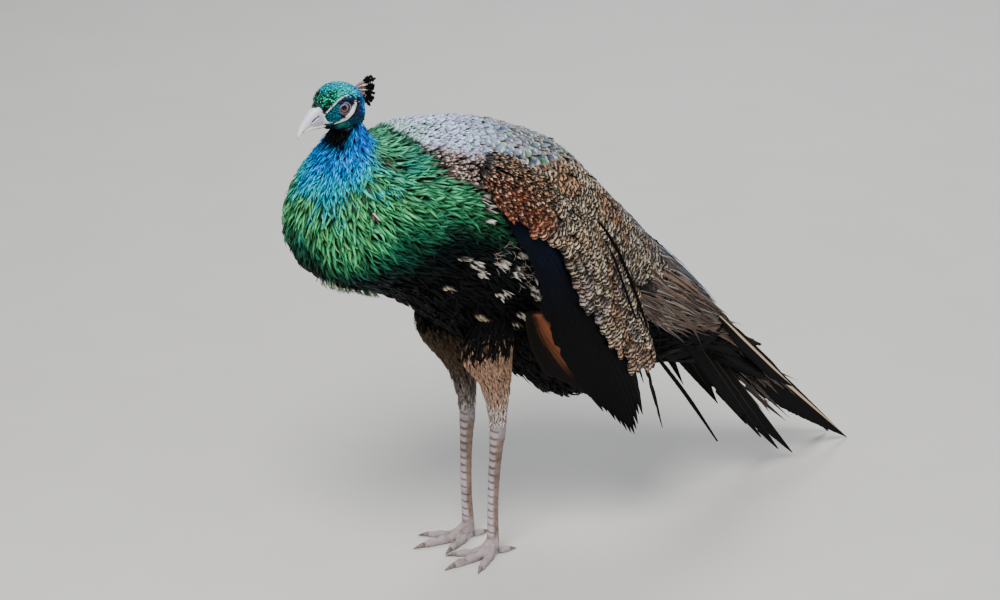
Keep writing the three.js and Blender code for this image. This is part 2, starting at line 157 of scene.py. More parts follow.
# A closed tube through rings of points, each end closed round a pole.
def tube(rings):
    rows, columns = rings.shape[:2]
    points = np.vstack([rings.reshape(-1, 3), rings[0].mean(0), rings[-1].mean(0)])
    j = np.arange(columns)
    k = (j + 1) % columns
    last, size = (rows - 1) * columns, rows * columns
    caps = [np.stack([j * 0 + size, k, j], -1), np.stack([j * 0 + size + 1, last + j, last + k], -1)]
    return {"points": points, "quads": sheetFaces(rows, columns), "tris": np.vstack(caps)}


# The same shape with its faces turned outwards, told by the sign of the volume they enclose.
def outward(shape):
    points, quads, tris = (shape[key] for key in ("points", "quads", "tris"))
    fans = np.vstack([quads[:, :3], quads[:, [0, 2, 3]], tris])
    a, b, c = (points[fans[:, k]] - points.mean(0) for k in range(3))
    if dot(a, np.cross(b, c)).sum() < 0:
        shape = {**shape, "quads": quads[:, ::-1], "tris": tris[:, ::-1]}
    return shape


# Shapes joined into one list of points and faces, with their values side by side.
def joined(shapes):
    out, start = {}, 0
    for shape in shapes:
        for key, value in shape.items():
            value = np.asarray(value)
            out.setdefault(key, []).append(value + start if key in ("quads", "tris") else value)
        start += len(shape["points"])
    return {key: np.concatenate(value) for key, value in out.items()}


# A mesh object from a shape in millimetres. Every other array of the shape becomes an attribute of its
# points, but "bake" becomes the UV map that the plumage is painted through.
def addPiece(name, shape, material, slot):
    quads, tris = shape["quads"], shape["tris"]
    loops = np.concatenate([quads.reshape(-1), tris.reshape(-1)]).astype(np.int32)
    starts = np.concatenate([np.arange(len(quads)) * 4, len(quads) * 4 + np.arange(len(tris)) * 3])
    mesh = bpy.data.meshes.new(name)
    mesh.vertices.add(len(shape["points"]))
    mesh.vertices.foreach_set("co", place(shape["points"]).astype(np.float32).reshape(-1))
    mesh.loops.add(len(loops))
    mesh.loops.foreach_set("vertex_index", loops)
    mesh.polygons.add(len(starts))
    mesh.polygons.foreach_set("loop_start", starts.astype(np.int32))
    mesh.polygons.foreach_set("use_smooth", np.ones(len(starts), bool))
    for key, value in shape.items():
        if key in ("points", "quads", "tris"):
            continue
        if key == "bake":
            layer = mesh.uv_layers.new(name="OFBake")
            layer.data.foreach_set("uv", value[loops].astype(np.float32).reshape(-1))
        elif value.ndim == 1:
            mesh.attributes.new(key, "FLOAT", "POINT").data.foreach_set("value", value.astype(np.float32))
        else:
            full = np.column_stack([value, np.ones(len(value))]).astype(np.float32)
            mesh.attributes.new(key, "FLOAT_COLOR", "POINT").data.foreach_set("color", full.reshape(-1))
    mesh.update(calc_edges=True)
    mesh.validate()
    piece = bpy.data.objects.new(name, mesh)
    bpy.context.scene.collection.objects.link(piece)
    mesh.materials.append(material)
    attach(piece, "root")
    print(f"{name}: {2 * len(quads) + len(tris)} triangles")
    return piece


# One skin over several closed shapes: their common outside, rebuilt on a fine lattice and smoothed a number
# of times. Gives the shape and the directions out of its points.
def fused(shapes, voxel, smoothing):
    whole = joined([{key: s[key] for key in ("points", "quads", "tris")} for s in shapes])
    mesh = bpy.data.meshes.new("fusing")
    faces = [tuple(f) for f in whole["quads"].tolist()] + [tuple(f) for f in whole["tris"].tolist()]
    mesh.from_pydata(whole["points"].tolist(), [], faces)
    holder = bpy.data.objects.new("fusing", mesh)
    bpy.context.scene.collection.objects.link(holder)
    remesh = holder.modifiers.new("remesh", "REMESH")
    remesh.mode, remesh.voxel_size = "VOXEL", voxel
    soften = holder.modifiers.new("soften", "SMOOTH")
    soften.iterations, soften.factor = smoothing, 0.5
    evaluated = holder.evaluated_get(bpy.context.evaluated_depsgraph_get())
    done = evaluated.to_mesh()
    points = np.empty(len(done.vertices) * 3, np.float32)
    done.vertices.foreach_get("co", points)
    corners = np.empty(len(done.loops), np.int32)
    done.loops.foreach_get("vertex_index", corners)
    normals = np.empty(len(done.vertices) * 3, np.float32)
    done.vertices.foreach_get("normal", normals)
    evaluated.to_mesh_clear()
    bpy.data.objects.remove(holder)
    bpy.data.meshes.remove(mesh)
    return {
        "points": points.reshape(-1, 3).astype(float),
        "quads": corners.reshape(-1, 4),
        "tris": np.zeros((0, 3), int),
    }, normals.reshape(-1, 3)


# Surfaces of the bird. Each is a function of two numbers, the first along the lie of its feathers.

body = {
    "back": [
        (-158, 592), (-156, 572), (-146, 560), (-118, 562), (-84, 568), (-46, 566), (0, 557), (53, 540),
        (105, 514), (150, 470), (196, 423), (242, 375), (288, 327), (325, 287), (358, 251), (388, 216),
        (414, 188),
    ],
    "front": [
        (-196, 578), (-209, 552), (-232, 513), (-247, 468), (-244, 425), (-219, 394), (-172, 376),
        (-115, 350), (-58, 308), (0, 264), (62, 214), (121, 176), (186, 180), (252, 194), (308, 182),
        (358, 166), (400, 154),
    ],
    "girth": [  # half width, and how far the widest place lies towards the back
        (25, 0), (33, 0), (54, -0.02), (82, -0.05), (99, -0.08), (110, -0.06), (115, 0), (116, 0.04),
        (113, 0.08), (104, 0.1), (90, 0.1), (74, 0.1), (62, 0.1), (50, 0.1), (38, 0.1), (26, 0), (14, 0),
    ],
    "squareness": 2.15,
    "coat": [(0, 9), (2, 10), (4, 13), (6, 13), (9, 11), (12, 9), (16, 5)],  # station and depth of the coat
    "neckDraw": 5,  # how much its first stations draw in where they meet the head
    "step": 52,  # about how far one station is from the next
    "round": 620,  # about how far it is round the breast
}
lastStation = len(body["back"]) - 1
streamers = {  # the body's last slices drawn out over the tail, for the long loose feathers of the train
    "back": [*body["back"][:15], (390, 222), (420, 192), (452, 164), (492, 127), (532, 89), (572, 48)],
    "front": [*body["front"][:15], (362, 170), (398, 150), (436, 128), (478, 94), (520, 58), (562, 22)],
    "girth": [*body["girth"][:15], (33, 0), (29, 0), (26, 0), (23, 0), (18, 0), (12, 0)],
}


# How deep the coat is at a station, read off its table.
def coatDepth(u):
    stations, depths = np.array(body["coat"], float).T
    return np.interp(u, stations, depths)


# A row of slices, each from its back to its front with its half width. `u` is the slice and `v` goes once
# round it, from the back over the left side.
def slicePoint(rows, u, v, inset=0):
    back, front, girth = (curveThrough(rows[key], u) for key in ("back", "front", "girth"))
    middle, up = (back + front) / 2, (back - front) / 2
    reach = np.linalg.norm(up, axis=-1)
    up = up * column((reach - inset) / reach)
    power = 2 / body["squareness"]
    high = wave(np.cos(2 * np.pi * v), power)
    wide = wave(np.sin(2 * np.pi * v), power)
    x = (girth[..., 0] - inset) * wide * (1 + 2 * girth[..., 1] * high)
    return np.concatenate([column(x), middle + up * column(high)], -1)


# The outside of the feathered body.
def bodyPoint(u, v, inset=0):
    return slicePoint(body, u, v, inset)


# How much the neck draws in, less and less down from the head.
def neckDraw(u):
    return body["neckDraw"] * (1 - rise(u, 0, 1.2))


# The body's outside, drawn in where the neck meets the head.
def neckPoint(u, v):
    return slicePoint(body, u, v, neckDraw(u))


# The outside of the loose feathers over the tail.
def streamerPoint(u, v):
    return slicePoint(streamers, u, v)


# The slice and the place round it of any point near the body: the slice whose plane it is nearest to, and the
# angle whose cosine is its height in that slice.
def bodyAddress(points):
    stations = np.linspace(0, lastStation, 161)
    back, front = curveThrough(body["back"], stations), curveThrough(body["front"], stations)
    middle, up = (back + front) / 2, (back - front) / 2
    reach = np.linalg.norm(up, axis=-1)
    lie = up / column(reach)
    away = points[:, None, 1:] - middle
    high = dot(away, lie) / reach
    off = np.abs(away[..., 0] * lie[:, 1] - away[..., 1] * lie[:, 0])
    off = off + reach * np.maximum(np.abs(high) - 1, 0) * 3
    best = off.argmin(1)
    high = np.clip(high[np.arange(len(points)), best], -1, 1)
    around = np.arccos(high) / (2 * np.pi)
    return stations[best], np.where(points[:, 0] < 0, 1 - around, around)


head = {
    "pitch": 6,  # degrees that the bill points below level
    "skull": [  # ahead of the middle, top, bottom, half width
        (-26, 1, -15, 5), (-23.5, 11, -26, 12.5), (-17, 18.5, -30.5, 16.8), (-7, 24.5, -31, 18.2),
        (4, 27.5, -29.5, 17.6), (14, 28, -26.5, 16.2), (24, 24.5, -24, 13.6), (31, 18, -21, 10.8),
        (36, 10, -17, 8),
    ],
    "coat": 1.5,
    "coreInset": 3.5,  # how deep inside the skull the neck's skin ends
    "billSink": 1.6,  # how much deeper the skin lies where the bill comes out of it
    "squareness": 2.15,
}


# A place in the head's own directions: to its left, ahead of the eyes and above them.
def headPlace(x, ahead, high):
    pitch = np.radians(head["pitch"])
    y, z = -ahead, high
    turned = [x, y * np.cos(pitch) - z * np.sin(pitch), y * np.sin(pitch) + z * np.cos(pitch)]
    return np.stack(np.broadcast_arrays(*turned), -1) + headMiddle


# The head's own directions of a point of the bird.
def headAddress(points):
    pitch = np.radians(head["pitch"])
    y, z = points[..., 1] - headMiddle[1], points[..., 2] - headMiddle[2]
    return points[..., 0], -(y * np.cos(pitch) + z * np.sin(pitch)), -y * np.sin(pitch) + z * np.cos(pitch)


# Rings along the head's rows of top, bottom and half width, read from the last row to the first.
def headRing(rows, squareness, u, v, inset=0):
    ahead, top, bottom, half = np.moveaxis(curveThrough(rows[::-1], u), -1, 0)
    high = wave(np.cos(2 * np.pi * v), 2 / squareness)
    wide = wave(np.sin(2 * np.pi * v), 2 / squareness)
    reach = np.maximum((top - bottom) / 2 - inset, 0.4)
    return headPlace(np.maximum(half - inset, 0.4) * wide, ahead, (top + bottom) / 2 + reach * high)


# The outside of the head, from the bill, 0, to the nape, 8.
def skullPoint(u, v, inset=0):
    return headRing(head["skull"], head["squareness"], u, v, inset)


legs = {
    "left": {"side": 1, "toes": (36, 2), "ankle": (38, 8), "knee": (54, -26), "top": (60, -10), "toeOut": 6},
    "right": {
        "side": -1, "toes": (-24, 4), "ankle": (-33, 9), "knee": (-52, -22), "top": (-58, -20), "toeOut": 4,
    },
}
thigh = {
    "sizes": [(10.5, 9), (12.5, 11), (20, 16.5), (33, 25), (44, 30)],  # half depth and half width
    "squareness": 2.1,
    "coat": 4,
    "drawnIn": 14,  # how much its top draws in under the feathers of the body
}


# The feathered thigh, read from its top down to the ankle.
def thighPoint(leg, u, v, inset=0):
    inset = inset + thigh["drawnIn"] * (1 - rise(u, 0, 1.1))
    side, (ax, ay), (kx, ky), (tx, ty) = leg["side"], leg["ankle"], leg["knee"], leg["top"]
    path = [
        (ax, ay, 172), (ax + 1.5 * side, ay - 1, 196), (ax + 5 * side, ay - 7, 234), (kx, ky + 9, 278),
        (tx, ty, 331),
    ]
    middle = curveThrough(path[::-1], u)
    deep, wide = np.moveaxis(curveThrough(thigh["sizes"][::-1], u) - column(inset), -1, 0)
    power = 2 / thigh["squareness"]
    across = wave(np.sin(2 * np.pi * v), power) * wide
    back = wave(np.cos(2 * np.pi * v), power) * deep
    return middle + np.stack([across, back, 0.18 * back], -1)


wing = {  # its lower edge, middle and upper edge from the shoulder to the tip
    "low": [
        (86, -62, 533), (112, -51, 495), (119, -26, 458), (118, -4, 411), (103, 11, 329), (92, 47, 251),
        (80, 137, 162),
    ],
    "mid": [
        (84, -50, 541), (112, -24, 512), (126, 12, 471), (129, 50, 418), (122, 75, 344), (108, 115, 261),
        (86, 179, 133),
    ],
    "top": [
        (74, -32, 545), (80, 28, 517), (95, 75, 474), (96, 129, 413), (90, 171, 339), (82, 208, 250),
        (78, 232, 130),
    ],
}
lastWing = len(wing["low"]) - 1


# The folded wing from its shoulder, 0, to its tip, 6, and from its lower edge, -1, to its upper edge, 1.
# `lift` is away from the body, less near the upper edge.
def wingPoint(side, along, across, lift=0):
    low, mid, top = (curveThrough(wing[key], along) for key in ("low", "mid", "top"))
    a = column(across)
    point = low * a * (a - 1) / 2 + mid * (1 - a * a) + top * a * (a + 1) / 2
    out = lift * (1 - 0.85 * rise(across, 0.3, 1))
    point = point + np.stack(np.broadcast_arrays(out, 0, 0.25 * out * across), -1)
    return point * (side, 1, 1)


# Where a surface is, how it runs for one step of each number, and which way is out.
def tangents(surface, u, v, sign):
    step = 0.004
    along = (surface(u + step, v) - surface(u - step, v)) / (2 * step)
    around = (surface(u, v + step) - surface(u, v - step)) / (2 * step)
    return surface(u, v), along, around, sign * unit(np.cross(around, along))


# Shader maths


# A socket that can be added, multiplied and so on. Each step adds one Math node.
class Value:
    def __init__(self, graph, socket):
        self.graph, self.socket = graph, socket

    def math(self, operation, *others):
        return self.graph.node("Math", {"operation": operation}, [self, *others])

    def __add__(self, other):
        return self.math("ADD", other)

    __radd__ = __add__

    def __sub__(self, other):
        return self.math("SUBTRACT", other)

    def __rsub__(self, other):
        return self.graph.node("Math", {"operation": "SUBTRACT"}, [other, self])

    def __mul__(self, other):
        return self.math("MULTIPLY", other)

    __rmul__ = __mul__

    def __pow__(self, other):
        return self.math("POWER", other)

    def sine(self):
        return self.math("SINE")

    def absolute(self):
        return self.math("ABSOLUTE")

    # An s-shaped rise from 0 to 1 between two values.
    def between(self, start, end):
        settings = {"interpolation_type": "SMOOTHSTEP"}
        return self.graph.node("MapRange", settings, {"Value": self, "From Min": start, "From Max": end})


# The nodes of one material.
class Graph:
    def __init__(self, name):
        self.material = bpy.data.materials.new(name)
        self.material.use_nodes = True
        self.nodes, self.links = self.material.node_tree.nodes, self.material.node_tree.links
        self.shader = self.nodes["Principled BSDF"]

    # A node of any type: its settings first, then the values or links of its sockets. Gives its first live
    # output, or the output that is named.
    def node(self, kind, settings=None, sockets=None, output=None):
        made = self.nodes.new("ShaderNode" + kind)
        for key, value in (settings or {}).items():
            setattr(made, key, value)
        pairs = sockets.items() if isinstance(sockets, dict) else enumerate(sockets or [])
        for key, value in pairs:
            self.feed(made.inputs[key], value)
        live = made.outputs[output] if output else next(o for o in made.outputs if o.enabled)
        return Value(self, live)

    # A link or a value into a socket.
    def feed(self, socket, value):
        if isinstance(value, Value):
            self.links.new(value.socket, socket)
        else:
            socket.default_value = value

    # A value or colour that the mesh carries at its points.
    def attribute(self, name, colour=False):
        return self.node("Attribute", {"attribute_name": name}, output="Color" if colour else "Fac")

    # A colour that goes from a to b with the factor.
    def mix(self, factor, a, b, blend="MIX"):
        made = self.nodes.new("ShaderNodeMix")
        made.data_type, made.blend_type = "RGBA", blend
        for socket, value in zip((made.inputs[0], made.inputs[6], made.inputs[7]), (factor, a, b)):
            self.feed(socket, value if isinstance(value, (Value, float, int)) else (*value, 1))
        return Value(self, made.outputs[2])

    # A colour darkened or lightened by a factor.
    def toned(self, colour, factor):
        return self.mix(1.0, colour, self.node("CombineColor", {}, [factor, factor, factor]), "MULTIPLY")

    # The direction out, tilted by a height that is 0 to 1 over a distance in metres.
    def bump(self, height, distance):
        return self.node("Bump", {}, {"Height": height, "Distance": distance})

    # Noise from 0 to 1 fixed to the object, with `scale` lumps in a metre.
    def noise(self, scale, detail):
        vector = self.node("TexCoord", output="Object")
        return self.node("TexNoise", {}, {"Vector": vector, "Scale": scale, "Detail": detail}, output="Fac")

    # The material, with the shader's sockets fed by name.
    def finish(self, **inputs):
        for key, value in inputs.items():
            socket = self.shader.inputs[key.replace("_", " ")]
            self.feed(socket, (*value, 1) if isinstance(value, (tuple, np.ndarray)) else value)
        return self.material


fullTurn = 6.283  # radians, in the sines that make barbs and bars


# The end of each plumage: its colour, darkened towards the root as painted shade where the roots lie under
# other feathers, over a relief with one barb for each step of 1 in `counted`.
def feathered(graph, look, shade, along, counted):
    depth = along.between(*look["rootDark"]) * (1 - look["darkest"]) + look["darkest"]
    barbs = (counted * fullTurn).sine()
    return graph.finish(
        Base_Color=graph.toned(shade, depth),
        Roughness=look["roughness"],
        Specular_IOR_Level=look["specular"],
        Normal=graph.bump(barbs * 0.5 + 0.5, look["barbHeight"]),
    )


# Plumage of small feathers. Each feather is its tint, with its rim colour towards its edges and over
# its tip, and fine barbs slanting from its shaft.
def plumage(name, look):
    graph = Graph(name)
    along, across, chance = (graph.attribute(key) for key in ("along", "across", "chance"))
    tint, rim = graph.attribute("tint", True), graph.attribute("rim", True)
    edge = across.absolute()
    rimmed = (edge ** look["rimPower"]).math("MAXIMUM", along.between(*look["rimTip"])) * look["rimShare"]
    shade = graph.mix(rimmed.math("MINIMUM", 1), tint, rim)
    return feathered(graph, look, shade, along, along * look["barbs"] - edge * look["slant"] + chance * 9)


# Where the rim colour starts on the tip and how fast it comes in from the edges; from where to where a
# feather lightens from its darkest, at the root, where shade is painted; how many barbs it shows, how far
# they slant and how high they stand, in metres.
plainLook = {
    "rimPower": 3.0, "rimTip": (0.9, 1.0), "rimShare": 0.5, "rootDark": (0.0, 0.6), "darkest": 0.25,
    "barbs": 7.0, "slant": 2.5, "barbHeight": 0.0002, "roughness": 0.6, "specular": 0.4,
}
glossyPlumage = plumage("glossyPlumage", {
    **plainLook, "rootDark": (0.05, 0.62), "darkest": 0.04, "roughness": 0.46, "specular": 0.09})
crownPlumage = plumage("crownPlumage", {
    **plainLook, "rootDark": (0.15, 0.65), "darkest": 0.03, "roughness": 0.45, "specular": 0.2})
scalyPlumage = plumage("scalyPlumage", {
    **plainLook, "rimTip": (0.72, 0.94), "rimShare": 1.0, "rootDark": (0.28, 0.68), "darkest": 0.06,
    "roughness": 0.5, "specular": 0.2})
softPlumage = plumage("softPlumage", {**plainLook, "roughness": 0.7, "specular": 0.12})
strandPlumage = plumage("strandPlumage", {
    **plainLook, "rimPower": 2.2, "rimTip": (0.97, 1.0), "rimShare": 1.0, "barbs": 22.0,
    "rootDark": (-0.2, 0.4)})


# Barred plumage: bars follow the rounded tip of each feather a fixed distance apart, a pale one at the very
# edge.
def barredPlumage(name, look):
    graph = Graph(name)
    along, across, chance, reach = (graph.attribute(key) for key in ("along", "across", "chance", "reach"))
    tint, rim = graph.attribute("tint", True), graph.attribute("rim", True)
    edge = across.absolute()
    wobble = (graph.noise(look["wobbleScale"], 2.0) - 0.5) * look["wobble"]
    phase = reach * (1 / look["period"]) - edge * edge * look["chevron"] + wobble + chance * look["shuffle"]
    uneven = (chance - 0.5) * look["uneven"]
    bars = ((phase * fullTurn + look["start"]).sine() + uneven).between(*look["barEdge"])
    speckle = graph.noise(look["speckleScale"], 3.0).between(0.35, 0.65)
    shade = graph.mix(bars * (0.55 + 0.45 * speckle), tint, rim)
    return feathered(graph, look, shade, along, along * look["barbs"] - edge * look["slant"])


barredLook = {  # the bars' distance in millimetres, how far they bend back at the edges, and how they waver
    **plainLook, "period": 5.9, "chevron": 0.45, "wobble": 1.3, "wobbleScale": 210.0,
    "barEdge": (-0.15, 0.35), "speckleScale": 420.0, "start": 0.9, "shuffle": 0.35, "uneven": 0.9,
    "barbs": 8.0, "roughness": 0.55, "specular": 0.25, "darkest": 0.05, "rootDark": (0.3, 0.8),
}
barred = barredPlumage("barredPlumage", barredLook)
mottled = barredPlumage("mottledPlumage", {
    **barredLook, "period": 7.5, "wobble": 2.2, "wobbleScale": 180.0, "shuffle": 1.0})


# Feathers


feathers = {}  # the batches of each coat piece
bakeReach = 0.0015  # half the patch that a feather takes up on the map of its piece


# The faces of one feather: three sides from ring to ring, a closed root, and a point at the tip.
def featherFaces(rings):
    edges = [(j, (j + 1) % 3) for j in range(3)]
    quads = [[i * 3 + a, i * 3 + b, i * 3 + 3 + b, i * 3 + 3 + a] for i in range(rings - 1) for a, b in edges]
    tris = [[2, 1, 0]] + [[rings * 3 - 3 + a, rings * 3 - 3 + b, rings * 3] for a, b in edges]
    return np.array(quads), np.array(tris)


# Feathers over a surface. Each is a thin three-sided prism: its left edge, raised shaft and right edge follow
# a path that keeps to the surface, and meet at the tip. The path starts at the skin, `depth` below the
# surface, and rises to its layer; `lift` raises the tip, `turn`, `stray` and `bend` steer it, and `roll` tips
# it sideways.
def layFeathers(surface, u, v, feather, tint, rim, unwrap, sign=1, turn=0.0, size=1.0, depth=None, layer=0.0):
    count = len(u)

    def around(width):
        return width * dice.normal(size=count)

    length = feather["length"] * size * (1 + feather["vary"] * dice.uniform(-1, 1, count))
    half = feather["width"] / 2 * size * (1 + feather["vary"] * dice.uniform(-1, 1, count))
    heading = turn + around(feather["stray"])
    bend, roll = around(feather["bend"]), around(feather["roll"])
    depth = feather["depth"] if depth is None else depth
    height = layer + dice.uniform(*feather["layer"], count)
    lift = dice.uniform(*feather["lift"], count)
    chance = dice.random(count)
    rootU, rootV = u, v
    shares = [*feather["at"], 1.0]
    points, ways = [], None
    for k, share in enumerate(shares):
        point, along, about, normal = tangents(surface, u, v, sign)
        if ways is None:
            ahead = unit(along)
            ways = ahead * column(np.cos(heading)) + np.cross(normal, ahead) * column(np.sin(heading))
        else:
            ways = ways + np.cross(normal, ways) * column(bend * (share - shares[k - 1]))
        ways = unit(ways - normal * column(dot(ways, normal)))
        aside = np.cross(normal, ways)
        tilted = aside * column(np.cos(roll)) + normal * column(np.sin(roll))
        high = lerp(-depth, height, rise(share, -0.05, 0.5)) + lift * share**2
        centre = point + normal * column(high)
        if k < len(shares) - 1:
            wide = half * feather["widths"][k]
            ridge = np.cross(ways, tilted) * column(wide * feather["ridge"] + 0.25)
            points += [centre + tilted * column(wide), centre + ridge, centre - tilted * column(wide)]
            step = length * (shares[k + 1] - share)
            uu, uv, vv = dot(along, along), dot(along, about), dot(about, about)
            wayU, wayV = dot(ways, along), dot(ways, about)
            area = np.maximum(uu * vv - uv * uv, 1e-6)
            u, v = u + step * (vv * wayU - uv * wayV) / area, v + step * (uu * wayV - uv * wayU) / area
        else:
            points.append(centre)
    rings = len(shares) - 1
    each = rings * 3 + 1
    base = np.arange(count)[:, None, None] * each
    quads, tris = featherFaces(rings)
    share = np.append(np.repeat(feather["at"], 3), 1.0)
    side = np.append(np.tile([-1.0, 0.0, 1.0], rings), 0.0)
    patch = np.stack(unwrap(rootU, rootV), -1)
    return {
        "points": np.stack(points, 1).reshape(-1, 3),
        "quads": (quads + base).reshape(-1, 4),
        "tris": (tris + base).reshape(-1, 3),
        "along": np.tile(share, count),
        "across": np.tile(side, count),
        "chance": np.repeat(chance, each),
        "reach": (length[:, None] * (1 - share)).reshape(-1),
        "tint": np.repeat(tint, each, 0),
        "rim": np.repeat(rim, each, 0),
        "bake": (patch[:, None] + np.stack([side, share * 2 - 1], -1) * bakeReach).reshape(-1, 2),
    }


# The length of a line of points up to each of them.
def lengthsAlong(points):
    return np.append(0, np.cumsum(np.linalg.norm(np.diff(points, axis=0), axis=1)))


rootJitter = 0.35  # how far a root strays from its place, as a share of the spacing


# Roots in rows across a stretch of a surface, each row shifted by half a step, spaced in millimetres.
def rootsOver(surface, fromU, toU, fromV, toV, along, around):
    fine = np.linspace(fromU, toU, 200)
    middle = np.full(len(fine), (fromV + toV) / 2)
    run = lengthsAlong(surface(fine, middle))
    rows = np.interp(np.arange(0, run[-1], along), run, fine)
    us, vs = [], []
    acrossFine = np.linspace(fromV, toV, 240)
    for i, row in enumerate(rows):
        length = lengthsAlong(surface(np.full(len(acrossFine), row), acrossFine))
        at = np.arange(around * (0.25 + 0.5 * (i % 2)), length[-1], around)
        at = at + dice.uniform(-rootJitter, rootJitter, len(at)) * around
        vs.append(np.interp(at, length, acrossFine))
        us.append(row + dice.uniform(-rootJitter, rootJitter, len(at)) * along * (toU - fromU) / run[-1])
    return np.clip(np.concatenate(us), fromU, toU), np.concatenate(vs)


# A share from 0 to 1 as a place on a map, clear of its edges.
def onMap(share):
    return 0.02 + 0.96 * share


# The body laid flat: its station to one side, the place round it upwards.
def bodyUnwrap(u, v):
    return 0.02 + 0.96 * np.clip(u, 0, lastStation) / lastStation, onMap(v % 1)


# The same arrays with only the items that the mask is true for.
def keep(mask, *arrays):
    return [a[mask] for a in arrays]


# Colours


colours = {
    "azure": paint(0, 158, 252), "cobalt": paint(0, 104, 234), "cyan": paint(0, 204, 232),
    "green": paint(78, 186, 122), "leaf": paint(124, 200, 112), "teal": paint(0, 138, 126),
    "deepGreen": paint(14, 92, 68), "blackGreen": paint(4, 24, 24), "black": paint(5, 6, 8),
    "napeGreen": paint(84, 184, 138), "silver": paint(158, 176, 214), "slate": paint(54, 82, 110),
    "lilac": paint(236, 234, 248), "buff": paint(232, 198, 158), "cream": paint(250, 236, 210),
    "umber": paint(26, 20, 18), "grey": paint(136, 126, 118), "pale": paint(206, 198, 190),
    "crown": paint(0, 208, 210), "crownGreen": paint(38, 210, 160), "white": paint(240, 238, 232),
    "darkTeal": paint(10, 118, 138), "tan": paint(216, 152, 100), "rosy": paint(242, 222, 214),
    "rosyBrown": paint(84, 56, 48), "napeSilver": paint(140, 196, 186), "navy": paint(20, 46, 90),
    "mantle": paint(186, 204, 246), "aqua": paint(0, 178, 214),
}


# One colour, or the colour of that name, blended over another where `share` says.
def over(under, top, share):
    under, top = (colours[c] if isinstance(c, str) else c for c in (under, top))
    return under + (top - under) * column(share)


# A colour with one layer after another over it, each a colour and its share.
def layered(under, layers):
    for top, share in layers:
        under = over(under, top, share)
    return under


# Borders on the body, each as how far round from the back it lies at a station.
borders = {
    "mantle": [
        (2.9, -0.02), (3.3, 0.05), (3.8, 0.10), (4.5, 0.105), (5.2, 0.12), (5.9, 0.125), (6.5, 0.135),
        (7.0, 0.12), (7.5, 0.10), (8.0, 0.07), (8.6, 0.03), (9.0, -0.02), (16, -0.02),
    ],
    "flank": [
        (3.2, -0.02), (3.8, 0.11), (4.4, 0.145), (5.2, 0.173), (5.98, 0.19), (6.6, 0.205), (7.43, 0.215),
        (8.05, 0.235), (9.0, 0.23), (9.8, 0.205), (10.6, 0.19), (11.4, 0.175), (12.2, 0.18), (13.0, 0.165),
        (14.0, 0.14), (16, 0.12),
    ],
}
whiteSpots = [  # station, how far round, radius in millimetres
    (6.50, 0.297, 3), (6.92, 0.302, 5.5), (7.18, 0.312, 4.5), (7.36, 0.284, 6.5), (7.62, 0.262, 3.5),
    (7.85, 0.285, 6), (7.95, 0.325, 6.5), (8.45, 0.295, 5), (6.95, 0.362, 4), (8.12, 0.382, 6),
    (8.75, 0.357, 4), (8.65, 0.338, 4), (6.05, 0.197, 4), (6.25, 0.215, 3.5), (6.45, 0.235, 2.5),
    (3.3, 0.285, 1.6), (8.05, 0.262, 2.5), (8.3, 0.275, 3), (8.6, 0.3, 3), (8.9, 0.32, 3), (9.1, 0.345, 3),
]


# How far round from the back a border lies at a station, read off its table.
def border(name, u):
    stations, places = np.array(borders[name]).T
    return np.interp(u, stations, places)


